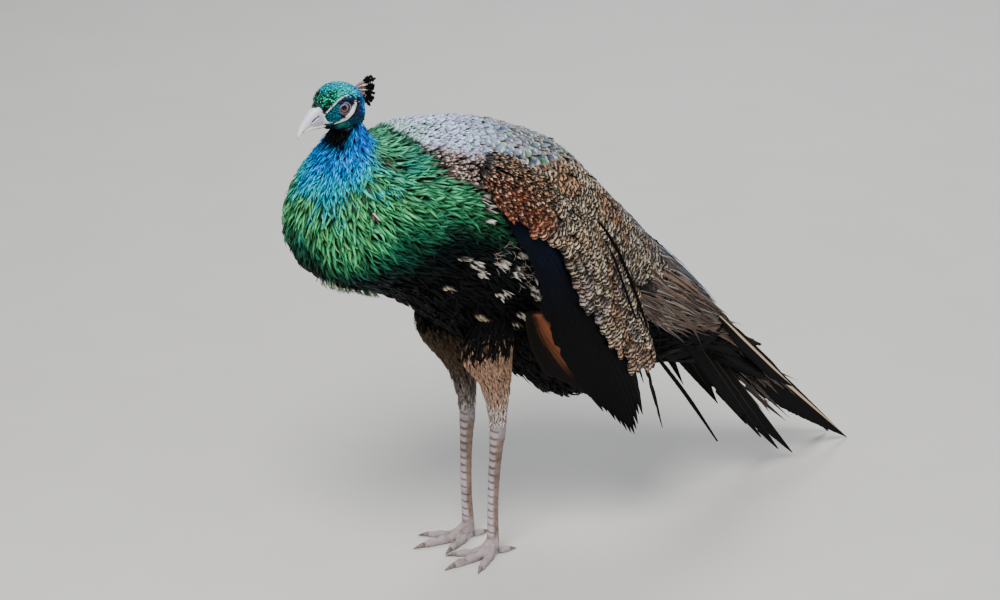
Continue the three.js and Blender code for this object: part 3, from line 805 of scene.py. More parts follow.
# The markings of the body. `u` and `v` are its two numbers, `vary` a number from -1 to 1 that differs from
# feather to feather, so that borders are ragged. Gives the tint and the rim colour.
def bodyMarkings(u, v, points, vary):
    low = np.abs((v + 0.5) % 1 - 0.5)  # 0 on the back, 0.5 underneath
    slow, patchy = noiseAt(points, 34, 3), noiseAt(points, 15, 14)
    place, u = u, u + 0.16 * vary + 0.25 * slow
    nape = 1 - rise(low, 0.13, 0.25)
    tint = layered("azure", [
        ("cobalt", rise(0.7 * patchy + 0.5 * vary, 0.1, 0.7) * 0.8),
        ("cyan", rise(u + 0.35 * patchy, 1.45, 2.1)),
        ("green", rise(u + 0.3 * patchy, 1.95, 2.75)),
        ("leaf", rise(u, 2.0, 2.7) * rise(0.8 * patchy + 0.5 * vary, 0.0, 0.8) * 0.55),
        ("cyan", rise(u, 1.9, 2.2) * (1 - rise(u, 3.0, 3.8)) * rise(-patchy - 0.4 * vary, 0.25, 0.7) * 0.6),
        ("napeGreen", rise(u, 1.0, 1.7) * nape),
        ("rosyBrown", rise(u, 1.6, 2.4) * nape * rise(-patchy + 0.3 * vary, 0.35, 0.6) * 0.8),
        ("teal", np.exp(-(((u - 3.7) / 0.5) ** 2) - ((low - 0.14) / 0.05) ** 2) * 0.9),
        # Darker greens and then black lower down and further back: the dark belly's own colour, deepened
        # under the breast with painted shade.
        ("deepGreen", rise(u, 3.5, 4.9) * rise(low, 0.18, 0.3)),
        ("deepGreen", rise(u, 2.9, 3.7) * rise(low, 0.40, 0.47)),
        ("teal", rise(u, 3.6, 4.4) * rise(patchy, 0.25, 0.7) * 0.4),
        ("blackGreen", rise(u, 3.6, 4.4) * rise(low, 0.41, 0.47)),
        ("blackGreen", rise(u, 4.2, 5.4) * rise(low, 0.27, 0.40)),
        ("blackGreen", rise(u, 5.0, 6.2) * rise(low, 0.19, 0.28)),
        ("black", rise(u, 5.9, 7.0) * rise(low, 0.24, 0.33)),
        ("black", rise(u, 9.0, 9.6)),
        ("black", (1 - rise(u, 0.45, 1.0)) * rise(low, 0.26, 0.36)),
        ("cobalt", (1 - rise(u, 0.5, 1.2)) * (1 - rise(low, 0.2, 0.3)) * 0.6),
    ])
    # The rim starts as the tint darkened: painted shade at the feathers' edges and tips, between them. The
    # barred and silvery parts get pale rims of their own below.
    rim = tint * 0.3
    ragged = low + 0.008 * vary
    scaled = rise(border("flank", place) - ragged, -0.006, 0.006)
    mantle = rise(border("mantle", u) - ragged, -0.012, 0.012)
    barsRim = over("buff", "cream", 0.5 + 0.5 * vary)
    barsRim = over(barsRim, "tan", rise(noiseAt(points, 26, 21), 0.0, 0.4) * 0.8)
    front = 1 - rise(u, 5.4, 6.6)
    barsTint = over("umber", paint(140, 108, 100), front * (0.4 + 0.6 * rise(vary, -0.4, 0.4)))
    barsRim = over(barsRim, "rosy", front)
    train = rise(u, 9.0, 10.6)
    greys = over(over("grey", "pale", 0.5 + 0.5 * vary), "silver", 1 - rise(low, 0.02, 0.09))
    barsRim = over(barsRim, greys, train * (0.35 + 0.5 * (1 - rise(low, 0.04, 0.14))))
    tint, rim = over(tint, barsTint, scaled), over(rim, barsRim, scaled)
    silver = over("slate", "mantle", 1 - rise(u + 0.5 * patchy, 5.0, 6.8))
    silver = over(silver, "napeGreen", rise(noiseAt(points, 9, 51) + 0.3 * vary, 0.35, 0.7) * 0.5)
    silver = over(silver, "napeSilver", rise(patchy + 0.4 * vary, 0.2, 0.7) * (1 - rise(u, 4.6, 6.4)) * 0.45)
    tint = over(over(tint, silver, mantle), "napeSilver", mantle * (1 - rise(u, 3.2, 4.4)))
    rim = over(rim, over("lilac", "cream", rise(u + 0.4 * vary, 5.6, 7.0) * 0.9), mantle)
    return tint, rim


# A number from -1 to 1 for each feather.
def differ(count):
    return dice.uniform(-1, 1, count)


# True for points of the body's side that lie under the folded wings.
def underWing(points, shrink=0.0):
    share = np.linspace(0.7, 5.4, 24)
    near = wingPoint(1, share, np.full(24, -0.86 + shrink))[:, 1:]
    far = wingPoint(1, share, np.full(24, 0.55 - shrink))[:, 1:]
    outline = np.vstack([near, far[::-1]])
    y, z = points[..., 1], points[..., 2]
    inside = np.zeros(len(points), bool)
    for (ay, az), (by, bz) in zip(outline, np.roll(outline, -1, 0)):
        crosses = (az > z) != (bz > z)
        inside ^= crosses & (y < (by - ay) * (z - az) / np.where(bz == az, 1, bz - az) + ay)
    return inside & (np.abs(points[..., 0]) > 35)


# The skin


# The skin under the coat: the coat's own markings, much darker, as painted shade where it shows between
# the feathers.
def skinShadePaint(points):
    u, v = bodyAddress(points)
    tint, _ = bodyMarkings(u, v, points, 0 * u)
    return tint * 0.06


grid = {  # rows and columns of each surface; how fine fused skins are and how often they are smoothed
    "body": (150, 72), "core": (60, 40), "thigh": (40, 32), "head": (170, 180), "shank": (90, 32),
    "toe": (30, 18), "ball": (16, 20), "fusedBody": (3.2, 6), "fusedLeg": (0.8, 3),
}


# A closed tube over a stretch of a surface.
def surfaceGrid(surface, rows, columns, fromU, toU):
    u, v = np.meshgrid(np.linspace(fromU, toU, rows), np.arange(columns) / columns, indexing="ij")
    return tube(surface(u, v))


shank = {
    "rows": [  # height, half depth and half width
        (16, 7.6, 8), (27, 7.4, 6.8), (60, 7, 5.6), (100, 7.6, 5.6), (138, 8.6, 6.2), (156, 10, 7.8),
        (169, 10, 8.2), (178, 9.5, 8),
    ],
    "bow": 3,
    "squareness": 2.4,
    "low": 16, "leanOver": 150,  # where it starts to lean from the toes to the ankle, and over what height
}
toes = {
    "inner": {"turn": -33, "length": 44, "root": 6, "tip": 4, "lift": 12, "claw": 13},
    "middle": {"turn": 1, "length": 60, "root": 6.6, "tip": 4.3, "lift": 13, "claw": 15},
    "outer": {"turn": 34, "length": 48, "root": 5.8, "tip": 3.9, "lift": 12, "claw": 13},
    "hind": {"turn": 172, "length": 21, "root": 5, "tip": 3.6, "lift": 15, "claw": 11},
}


# The bare shank, read upwards, bowed a little forwards between the toes and the ankle.
def shankPoint(leg, u, v):
    height, deep, wide = np.moveaxis(curveThrough(shank["rows"], u), -1, 0)
    share = (height - shank["low"]) / shank["leanOver"]
    x = lerp(leg["toes"][0], leg["ankle"][0], share)
    y = lerp(leg["toes"][1], leg["ankle"][1], share) - shank["bow"] * np.sin(np.pi * np.clip(share, 0, 1))
    power = 2 / shank["squareness"]
    across = wave(np.sin(2 * np.pi * v), power) * wide
    back = wave(np.cos(2 * np.pi * v), power) * deep
    return np.stack([x + across, y + back, height], -1)


# The middle line of a toe and its radius at each share of its length. It comes down from the foot and lies
# flat.
def toeLine(leg, toe, share):
    turn = np.radians(leg["side"] * (toe["turn"] + leg["toeOut"]))
    ahead = np.array([np.sin(turn), -np.cos(turn), 0])
    pads = 1 + 0.07 * np.cos(2 * np.pi * toe["length"] / 17 * share)
    radius = lerp(toe["root"], toe["tip"], share) * pads
    height = radius - 0.8 + toe["lift"] * (1 - rise(share, 0, 0.42))
    point = np.array([*leg["toes"], 0]) + column(2 + share * toe["length"]) * ahead
    point[..., 2] = height
    return point, radius, ahead


# A toe as rings round its middle line, flat where it lies on the ground.
def toeTube(leg, toe, rows, columns):
    share = np.linspace(0, 1, rows)[:, None]
    middle, radius, ahead = toeLine(leg, toe, share)
    angle = 2 * np.pi * (np.arange(columns) + 0.5) / columns
    aside = np.cross([0, 0, 1], ahead)
    rings = middle + column(radius * wave(np.cos(angle), 0.91)) * [0, 0, 1]
    rings = rings - column(radius * 1.05 * wave(np.sin(angle), 0.91)) * aside
    rings[..., 2] = np.maximum(rings[..., 2], 0)
    return tube(rings)


# An oval ball.
def ball(middle, radii):
    rows, columns = grid["ball"]
    polar = np.linspace(0.08, np.pi - 0.08, rows)[:, None]
    angle = 2 * np.pi * np.arange(columns) / columns
    parts = [np.sin(polar) * np.cos(angle), -np.sin(polar) * np.sin(angle), np.cos(polar) + 0 * angle]
    return tube(np.stack(parts, -1) * radii + middle)


# The closed shapes that a shank and its foot are fused from.
def footShapes(leg):
    x, y = leg["toes"]
    parts = [ball((x, y - 1, 14), (8.4, 8.8, 8))]
    parts.append(surfaceGrid(lambda u, v: shankPoint(leg, u, v), *grid["shank"], 0, len(shank["rows"]) - 1))
    parts += [toeTube(leg, toe, *grid["toe"]) for toe in toes.values()]
    return parts


legTone = {
    "front": paint(190, 178, 184), "back": paint(126, 98, 80), "upper": paint(112, 92, 84),
    "joint": paint(160, 152, 158), "groove": paint(72, 54, 46), "pitch": 9.6,
}


# Bare leg skin: broad scutes down the front, small round scales behind, and swollen pads under the toes.
def legFinish(shape, normals):
    points = shape["points"]
    z = points[:, 2]
    facing = rise(-normals[:, 1], 0.0, 0.45) * rise(z, 24, 30)
    scute = 0.5 + 0.5 * np.cos(2 * np.pi * (z + 1.6 * np.abs(normals[:, 0])) / legTone["pitch"])
    groove = (1 - rise(scute, 0.0, 0.26)) * facing
    grain = noiseAt(points, 2.2, 5) * (1 - facing)
    points = points - normals * column(0.42 * groove) + normals * column(0.2 * grain * rise(z, 4, 10))
    points[:, 2] = np.maximum(points[:, 2], 0.02)
    foot = 1 - rise(z, 20, 34)
    tint = over(legTone["back"], legTone["front"], 0.1 + 0.9 * np.maximum(facing, 0.6 * foot))
    edges = 1 - rise(scute, 0.2, 0.75)
    tint = over(tint, legTone["upper"], rise(z, 78, 126) * (0.35 + 0.45 * edges))
    tint = over(tint, legTone["joint"], rise(z, 152, 164) * 0.6)
    scales = rise(noiseAt(points, 3.0, 8), 0.05, 0.55) * (1 - facing)
    mottle = rise(noiseAt(points, 9, 9), 0.0, 0.7)
    tint = over(tint, legTone["groove"],
                np.clip(0.8 * groove + 0.5 * scales * (1 - 0.6 * foot) + 0.35 * mottle, 0, 0.9))
    shape["points"] = points
    shape["tint"] = tint
    return shape


faceLines = {  # the bare white marks, in the head's directions: ahead and high, and half the width of each
    "stripe": (
        [(31.5, -6), (27, -1.5), (21.6, 3), (16, 7.4), (11.3, 10.6), (4.8, 13), (-2.5, 13.8), (-6.5, 13.2)],
        (1.7, 0.85, 0.8, 0.85, 0.95, 1.1, 1.25, 0.6),
    ),
    "crescent": (
        [(-13, 9.5), (-11.4, 4.5), (-8.6, -1.5), (-3.6, -8.6), (3.2, -13.8), (10.5, -16.2), (17.5, -18.2)],
        (0.5, 1.5, 2.5, 2.8, 2.7, 2.0, 0.6),
    ),
    "gape": ([(31, -7), (28.5, -12), (25.5, -14.6), (19, -15.4)], (2.4, 2.2, 1.5, 0.4)),
    "base": ([(34, -4.5), (32, -9.5), (31.5, -15)], (2.6, 3.2, 3.0)),
}


# How much of each bare white mark a place on the face shows.
def whiteFace(ahead, high, soft=0.35):
    spot, shown = np.stack([ahead, high], -1), 0
    ragged = 0.35 * np.sin(2.3 * ahead + 1.1 * high) * np.sin(1.9 * high - 0.7 * ahead)
    for corners, widths in faceLines.values():
        away, where = nearLine(spot, corners)
        half = np.interp(where * (len(widths) - 1), np.arange(len(widths)), widths)
        shown = np.maximum(shown, 1 - rise(away - half + ragged, -soft, soft))
    return shown


eye = {
    "radius": 8.0, "ahead": 3.0, "out": 11.5,
    "axis": unit(np.array([0.9, -0.42, 0.12])),  # where the left eye looks
    "iris": 5.6, "pupil": 3.3,
    "lidMiddle": (4.4, -0.5), "lidInner": 5.3, "lidOuter": 8.7, "lidHeight": 1.5,
}


# The markings of the head: a green crown that turns turquoise behind, a blue nape, dark round the eye, teal
# in front of it, dark blue ear coverts, a green spot at the jaw and a black throat.
def headMarkings(ahead, high, vary):
    spot = np.stack([ahead, high], -1)
    tint = over("crown", "crownGreen", 0.9 * rise(ahead + 9 * vary, 4, 18))
    tint = over(tint, "aqua", rise(high + 0.3 * ahead, 24, 30) * 0.7)
    tint = over(tint, "aqua", (1 - rise(ahead - 0.35 * high + 3 * vary, -19, -8)) * 0.8)
    tint = over(tint, "cobalt", (1 - rise(ahead - 0.5 * high, -27, -19)) * 0.75)
    specks = rise(ahead + 0.15 * high, 7, 22) * rise(-vary, -0.3, 0.1) * (1 - 0.7 * rise(high, 19, 26))
    tint = over(tint, "blackGreen", specks)
    browLine = [(-30, 6), (-8, 11.5), (5, 12.5), (12, 9.5), (22, 2), (30, -6), (60, -6)]
    below = 1 - rise(high - np.interp(ahead, *np.array(browLine).T), -1, 1)
    face = over("navy", "darkTeal", rise(ahead, 11, 15))
    face = over(face, "azure", (1 - rise(ahead + 3 * vary, -21, -15)) * 0.8)
    face = over(face, "silver",
                rise(vary, 0.55, 0.8) * (1 - rise(ahead, -9, -5)) * rise(ahead, -18, -13) * 0.6)
    face = over(face, paint(8, 78, 82), (1 - rise(high, -20, -14)) * 0.8)
    jaw, _ = nearLine(spot, [(5, -20.5), (12, -20.5)])
    face = over(face, "teal", 1 - rise(jaw, 2.2, 4.2))
    face = over(face, "black", rise(ahead + 0.3 * vary, 15, 20) * (1 - rise(high, -20, -16)))
    face = over(face, "black", 1 - rise(high + 3 * vary, -29, -24))
    tint = over(tint, face, below)
    ring = np.linalg.norm(spot - eye["lidMiddle"], axis=-1)
    tint = over(tint, "black", (1 - rise(ring, 10, 11.5)) * 0.7)
    # The rim is the tint darkened: painted shade at the feathers' edges and tips, between them.
    return tint, tint * 0.12


# The head's skin, `coat` deep, with sockets for the eyes and the bare white marks standing out.
def headShape():
    rows, columns = grid["head"]
    u, v = np.meshgrid(np.linspace(0, 8, rows), np.arange(columns) / columns, indexing="ij")
    _, ahead, _ = headAddress(skullPoint(u, v))
    rings = skullPoint(u, v, head["coat"] + head["billSink"] * rise(ahead, 27, 33))
    x, ahead, high = headAddress(rings)
    ring = np.hypot(ahead - eye["lidMiddle"][0], high - eye["lidMiddle"][1])
    side = column(np.sign(x))
    socket = 1 - rise(ring, 6, 10.5)
    white = whiteFace(ahead, high) * rise(np.abs(x), 4, 7)
    wrinkle = noiseAt(rings, 1.1, 3) * 0.12
    rings = rings + side * column(white * (0.75 + wrinkle) - socket * 1.2) * [1, 0, 0]
    shape = tube(rings)
    x, ahead, high = headAddress(shape["points"])
    tint, _ = headMarkings(ahead, high, 0 * ahead)
    white = whiteFace(ahead, high) * rise(np.abs(x), 4, 7)
    pale = over(paint(240, 238, 226), paint(168, 204, 222), rise(high, 3, 13) * 0.75)
    pale = over(pale, paint(206, 200, 214), rise(ahead, 25, 30))
    pale = over(pale, paint(120, 124, 128), 0.5 * rise(noiseAt(shape["points"], 1.6, 44), 0.1, 0.7))
    # Under its feathers the skin is the head's markings darkened, as painted shade between the feathers.
    shape["tint"] = over(tint * 0.35, pale * column(1 + 0.1 * noiseAt(shape["points"], 1.4, 4)), white)
    return shape


# The eyelids of one side: a swollen ring over the eyeball, creased all round and drawn to a corner in front.
def lidShape(side):
    angle = 2 * np.pi * np.arange(96) / 96
    share = np.array([0, 0.05, 0.16, 0.3, 0.38, 0.46, 0.6, 0.8, 1.0])[:, None]
    bulge = np.array([0.05, 0.6, 0.9, 0.8, 0.5, 0.75, 0.9, 0.5, -0.45])[:, None]
    corner = np.maximum(np.cos(angle + 0.25), 0) ** 8 + 0.5 * np.maximum(-np.cos(angle), 0) ** 10
    inner = eye["lidInner"] * (1 - 0.1 * np.sin(angle) ** 2) + 0.9 * corner
    reach = lerp(inner, eye["lidOuter"] + 0.4 * corner, share)
    middle = eye["lidMiddle"]
    ahead, high = middle[0] + reach * np.cos(angle), middle[1] + reach * np.sin(angle)
    skull = 17.9 - head["coat"] - 0.012 * high**2 - 0.0035 * np.maximum(ahead - 2, 0) ** 2
    away = np.hypot(ahead - eye["ahead"], high)
    ballX = eye["out"] + np.sqrt(np.maximum(eye["radius"] ** 2 - away**2, 0.5))
    base = np.where(share < 0.1, np.minimum(ballX, skull + 1), skull)
    x = base + eye["lidHeight"] * bulge + 0.09 * np.sin(angle * 32) * rise(share, 0.2, 0.5)
    rings = np.concatenate([headPlace(x, ahead, high), headPlace(x * 0 + 13.0, ahead, high)[::-1]], 0)
    rings = np.vstack([rings, rings[:1]]) * (side, 1, 1)
    points = rings[:-1].reshape(-1, 3)
    quads = sheetFaces(len(rings), len(angle)) % len(points)
    # From mauve-brown below to a lighter lilac at its upper rear: a painted highlight on the lid's top.
    upper = rise((high - middle[1]) + 0.6 * (middle[0] - ahead), -9, 6)[np.r_[0:9, 8:-1:-1]].reshape(-1)
    tint = over(paint(124, 94, 108), paint(138, 134, 176), upper)
    tint = over(tint, paint(40, 40, 72), 0.35 + 0.5 * noiseAt(points, 1.0, 9))
    rim = np.repeat(np.r_[share[:, 0], share[::-1, 0]], len(angle))
    tint = over(tint, paint(14, 18, 40), rise(rim, 0.7, 0.95) + 0.6 * (1 - rise(rim, 0.02, 0.1)))
    shape = {"points": points, "quads": quads, "tris": np.zeros((0, 3), int), "tint": tint}
    return outward(shape)


# Bare skin: its tint with fine grain, over a relief of small scales.
def skinMaterial():
    graph = Graph("bareSkin")
    tint = graph.attribute("tint", True)
    fine = graph.noise(900.0, 4.0)
    coarse = graph.noise(260.0, 3.0)
    cells = graph.node("TexVoronoi", {"feature": "DISTANCE_TO_EDGE"},
                       {"Vector": graph.node("TexCoord", output="Object"), "Scale": 480.0}, output="Distance")
    return graph.finish(
        Base_Color=graph.toned(tint, 0.8 + 0.4 * fine),
        Roughness=0.45 + 0.2 * coarse,
        Normal=graph.bump(cells.between(0.0, 0.25) + fine * 0.3, 0.0003),
    )


bareSkin = skinMaterial()
bodySkin, _ = fused([
    surfaceGrid(lambda u, v: bodyPoint(u, v, coatDepth(u) + neckDraw(u)), *grid["body"], 0, lastStation),
    surfaceGrid(lambda u, v: skullPoint(u, v, head["coreInset"]), *grid["core"], 0, len(head["skull"]) - 1),
    *[surfaceGrid(lambda u, v, leg=leg: thighPoint(leg, u, v, thigh["coat"]), *grid["thigh"], 0, 4)
      for leg in legs.values()],
], *grid["fusedBody"])
bodySkin["tint"] = skinShadePaint(bodySkin["points"])
print("body skin done")
skinParts = [bodySkin, headShape(), lidShape(1), lidShape(-1)]
for leg in legs.values():
    skinParts.append(legFinish(*fused(footShapes(leg), *grid["fusedLeg"])))
skin = addPiece("skin", joined(skinParts), bareSkin, "leg_skin")
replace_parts(skin, "head", "neck", "breast", "trunk", "rump", "train", "thigh_left", "thigh_right",
            "shank_left", "shank_right", "foot_left", "foot_right")
print("skin done")


# The eyes


# The eye: a black pupil in a brown iris of fine fibres that run out from it, dark round its edge, under a
# clear coat.
def eyeMaterial():
    graph = Graph("eyeball")
    ring, angle = graph.attribute("ring"), graph.attribute("angle")
    fibres = graph.node("TexNoise", {}, {
        "Vector": graph.node("CombineXYZ", {}, [angle * 14, ring * 0.5, 0.0]), "Scale": 1.0, "Detail": 3.0},
        output="Fac")
    iris = graph.mix(fibres.between(0.3, 0.7), tuple(paint(92, 62, 66)), tuple(paint(150, 116, 124)))
    iris = graph.mix(ring.between(eye["iris"] - 1.0, eye["iris"]), iris, tuple(paint(38, 28, 30)))
    shade = graph.mix(ring.between(eye["pupil"] - 0.2, eye["pupil"] + 0.2), tuple(paint(3, 3, 4)), iris)
    return graph.finish(Base_Color=shade, Roughness=0.3, Specular_IOR_Level=0.1, Coat_Weight=0.5,
                        Coat_Roughness=0.02)


# An eyeball, a little fuller in front, with how far each point is from the line it looks along and at what
# angle.
def eyeShape(side):
    axis = eye["axis"] * (side, 1, 1)
    across = unit(np.cross(axis, [0, 0, 1]))
    above = np.cross(across, axis)
    rows, columns = 64, 72
    polar = np.linspace(0.01, np.pi - 0.01, rows)[:, None]
    angle = 2 * np.pi * np.arange(columns) / columns
    radial = column(np.sin(polar) * np.cos(angle)) * across - column(np.sin(polar) * np.sin(angle)) * above
    bulge = 1 + 0.02 * np.exp(-((polar / 0.5) ** 2))
    middle = headPlace(eye["out"] * side, eye["ahead"], 0)
    shape = tube(middle + eye["radius"] * column(bulge) * (radial + column(np.cos(polar)) * axis))
    away = shape["points"] - middle
    ahead = dot(away, axis)
    shape["ring"] = np.where(ahead > 0, np.linalg.norm(away - column(ahead) * axis, axis=-1), 9.0)
    shape["angle"] = np.arctan2(dot(away, above), dot(away, across))
    return shape


eyeball = eyeMaterial()
for name, side in sides.items():
    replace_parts(addPiece("eyeball_" + name, eyeShape(side), eyeball, "eyes"), "eye_" + name)


# The bill


bill = {
    "upper": [  # ahead of the middle of the head, top, bottom, half width
        (24, 9, -17, 8.4), (30, 9.6, -17.8, 9.2), (37, 6.2, -17.4, 7.8), (44, 1.6, -17, 6.5),
        (50, -4.2, -18.2, 5.3), (55, -10.2, -20.6, 4.3), (59, -15.8, -24.2, 3.4), (61.6, -20.8, -27.8, 2.5),
    ],
    "lower": [
        (24, -15.5, -21.2, 6.6), (31, -16, -21.3, 7.4), (38, -15.8, -20.8, 6.2), (45, -15.6, -20.3, 5),
        (50, -16.8, -20.9, 3.8), (54, -19, -22, 2.6),
    ],
    "nostril": [(43.5, -9.4), (39.5, -6.6), (35.5, -4.4)],  # a slit from its front end to its back end
    "nostrilWidth": 1.5,
    "squareness": 2.15,
    "horn": paint(220, 218, 238), "shade": paint(134, 128, 156), "under": paint(224, 216, 200),
    # painted shade for the nostril and the lower edge of the bill, then the pale gape
    "deepShade": paint(24, 20, 30), "gape": paint(236, 228, 196),
}


# One half of the bill. The upper one has a nostril on each side, sunk in a raised rim under a swollen cere.
def billShape(key):
    rows = bill[key]
    u, v = np.meshgrid(np.linspace(0, len(rows) - 1, 150), np.arange(96) / 96, indexing="ij")
    points = headRing(rows, bill["squareness"], u, v)
    x, ahead, high = headAddress(points)
    sides = rise(np.abs(x), 2.5, 4)
    if key == "upper":
        away, _ = nearLine(np.stack([ahead, high], -1), bill["nostril"])
        dent = (1 - rise(away, 0.3, bill["nostrilWidth"])) * sides
        rim = np.exp(-(((away - bill["nostrilWidth"] - 0.6) / 0.7) ** 2)) * sides
        cere = 1 - rise(ahead + 0.35 * high, 36, 39)
        points = points + column(np.sign(x) * (0.6 * rim - 1.5 * dent + 0.35 * cere)) * [1, 0, 0]
    shape = tube(points)
    x, ahead, high = headAddress(shape["points"])
    streak = noiseAt(np.stack([x * 0.5, ahead * 0.22, high * 1.1], -1), 1.0, 6)
    tint = bill["horn"] if key == "upper" else bill["under"]
    tint = over(tint, bill["shade"], 0.4 * rise(streak, -0.3, 0.9) * (1 - rise(ahead, 44, 56)))
    tint = over(tint, bill["shade"], 0.45 * (1 - rise(ahead + 0.4 * high, 30, 40)))
    # The lowest edge of the lower bill near its base is darkened: painted shade under the upper bill.
    if key == "lower":
        tint = over(tint, bill["deepShade"], 0.8 * (1 - rise(high, -20.6, -19.8)) * (1 - rise(ahead, 40, 48)))
    if key == "upper":
        tint = over(tint, bill["gape"], 0.8 * (1 - rise(high, -15.6, -13.6)) * (1 - rise(ahead, 46, 54)))
        tint = over(tint, colours["white"], 0.6 * rise(ahead, 50, 60))
        away, _ = nearLine(np.stack([ahead, high], -1), bill["nostril"])
        sides = rise(np.abs(x), 2.5, 4)
        # The nostril is painted dark: painted shade in its hollow.
        tint = over(tint, bill["deepShade"], (1 - rise(away, 0.5, 1.6)) * sides)
        tint = over(tint, bill["shade"], 0.5 * np.exp(-((away - 2.9) ** 2)) * sides)
    shape["tint"] = tint
    return shape


# Horn: its tint with fine streaks, under a thin clear coat.
def hornMaterial(name, rough):
    graph = Graph(name)
    tint = graph.attribute("tint", True)
    streaks = graph.noise(700.0, 4.0)
    return graph.finish(
        Base_Color=graph.toned(tint, 0.85 + 0.3 * streaks),
        Roughness=rough + 0.15 * streaks,
        Coat_Weight=0.25,
        Coat_Roughness=0.3,
        Normal=graph.bump(streaks, 0.0001),
    )


horn = hornMaterial("billHorn", 0.34)
for key in ("upper", "lower"):
    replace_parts(addPiece("bill_horn_" + key, billShape(key), horn, "bill"), "bill_" + key)


# The claws


# A claw that narrows from the end of its toe and bends down to the ground.
def clawShape(leg, toe):
    share = np.linspace(0, 1, 20)[:, None]
    start, _, ahead = toeLine(leg, toe, np.array([1.0]))
    start = start[0] + 0.35 * ahead
    radius = toe["tip"] * lerp(0.8, 0.12, share**1.3)
    drop = lerp(0.6, toe["tip"] * 0.75, share**2)
    high = np.maximum(start[2] + 0.8 - drop, radius * 0.82)
    reach = share * toe["claw"] - 2 * (share == 0)
    middle = start * (1, 1, 0) + column(reach) * ahead + column(high) * [0, 0, 1]
    angle = 2 * np.pi * (np.arange(18) + 0.5) / 18
    aside = np.cross([0, 0, 1], ahead)
    rings = middle + column(radius * np.cos(angle)) * [0, 0, 1] - column(radius * 0.8 * np.sin(angle)) * aside
    rings[..., 2] = np.maximum(rings[..., 2], 0.02)
    shape = tube(rings)
    streak = noiseAt(shape["points"], 2.0, 7)
    dark, light = paint(70, 60, 58), paint(150, 136, 126)
    shape["tint"] = over(dark, light, 0.5 + 0.5 * streak)
    return shape


clawHorn = hornMaterial("clawHorn", 0.4)
for sideName, leg in legs.items():
    for toeName, toe in toes.items():
        name = f"{toeName}_{sideName}"
        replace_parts(addPiece("nail_" + name, clawShape(leg, toe), clawHorn, "claws"), "claw_" + name)
print("bill, eyes and claws done")


# The coat of the body


# Three kinds of feather: how much their sizes vary, how high out they lie, how their tips lift, how much they
# stray, bend and roll, their shaft's height as a share of their width, and their widths at shares of their
# length.
soft = {
    "vary": 0.3, "layer": (-2, 0.5), "lift": (0, 2), "stray": 0.2, "bend": 0.5, "roll": 0.4, "ridge": 0.3,
    "at": (0, 0.3, 0.62), "widths": (0.5, 1, 0.66),
}
rounded = {
    "vary": 0.15, "layer": (-2, 0), "lift": (0, 1.8), "stray": 0.12, "bend": 0.1, "roll": 0.2,
    "ridge": 0.14, "at": (0, 0.4, 0.75, 0.93), "widths": (0.5, 0.95, 1, 0.7),
}
trailing = {
    "layer": (0, 3), "lift": (0, 2), "stray": 0.1, "bend": 0.16, "roll": 0.4, "ridge": 0.16,
    "at": (0, 0.1, 0.25, 0.42, 0.6, 0.78, 0.92), "widths": (0.4, 0.85, 1, 0.9, 0.66, 0.36, 0.14),
}
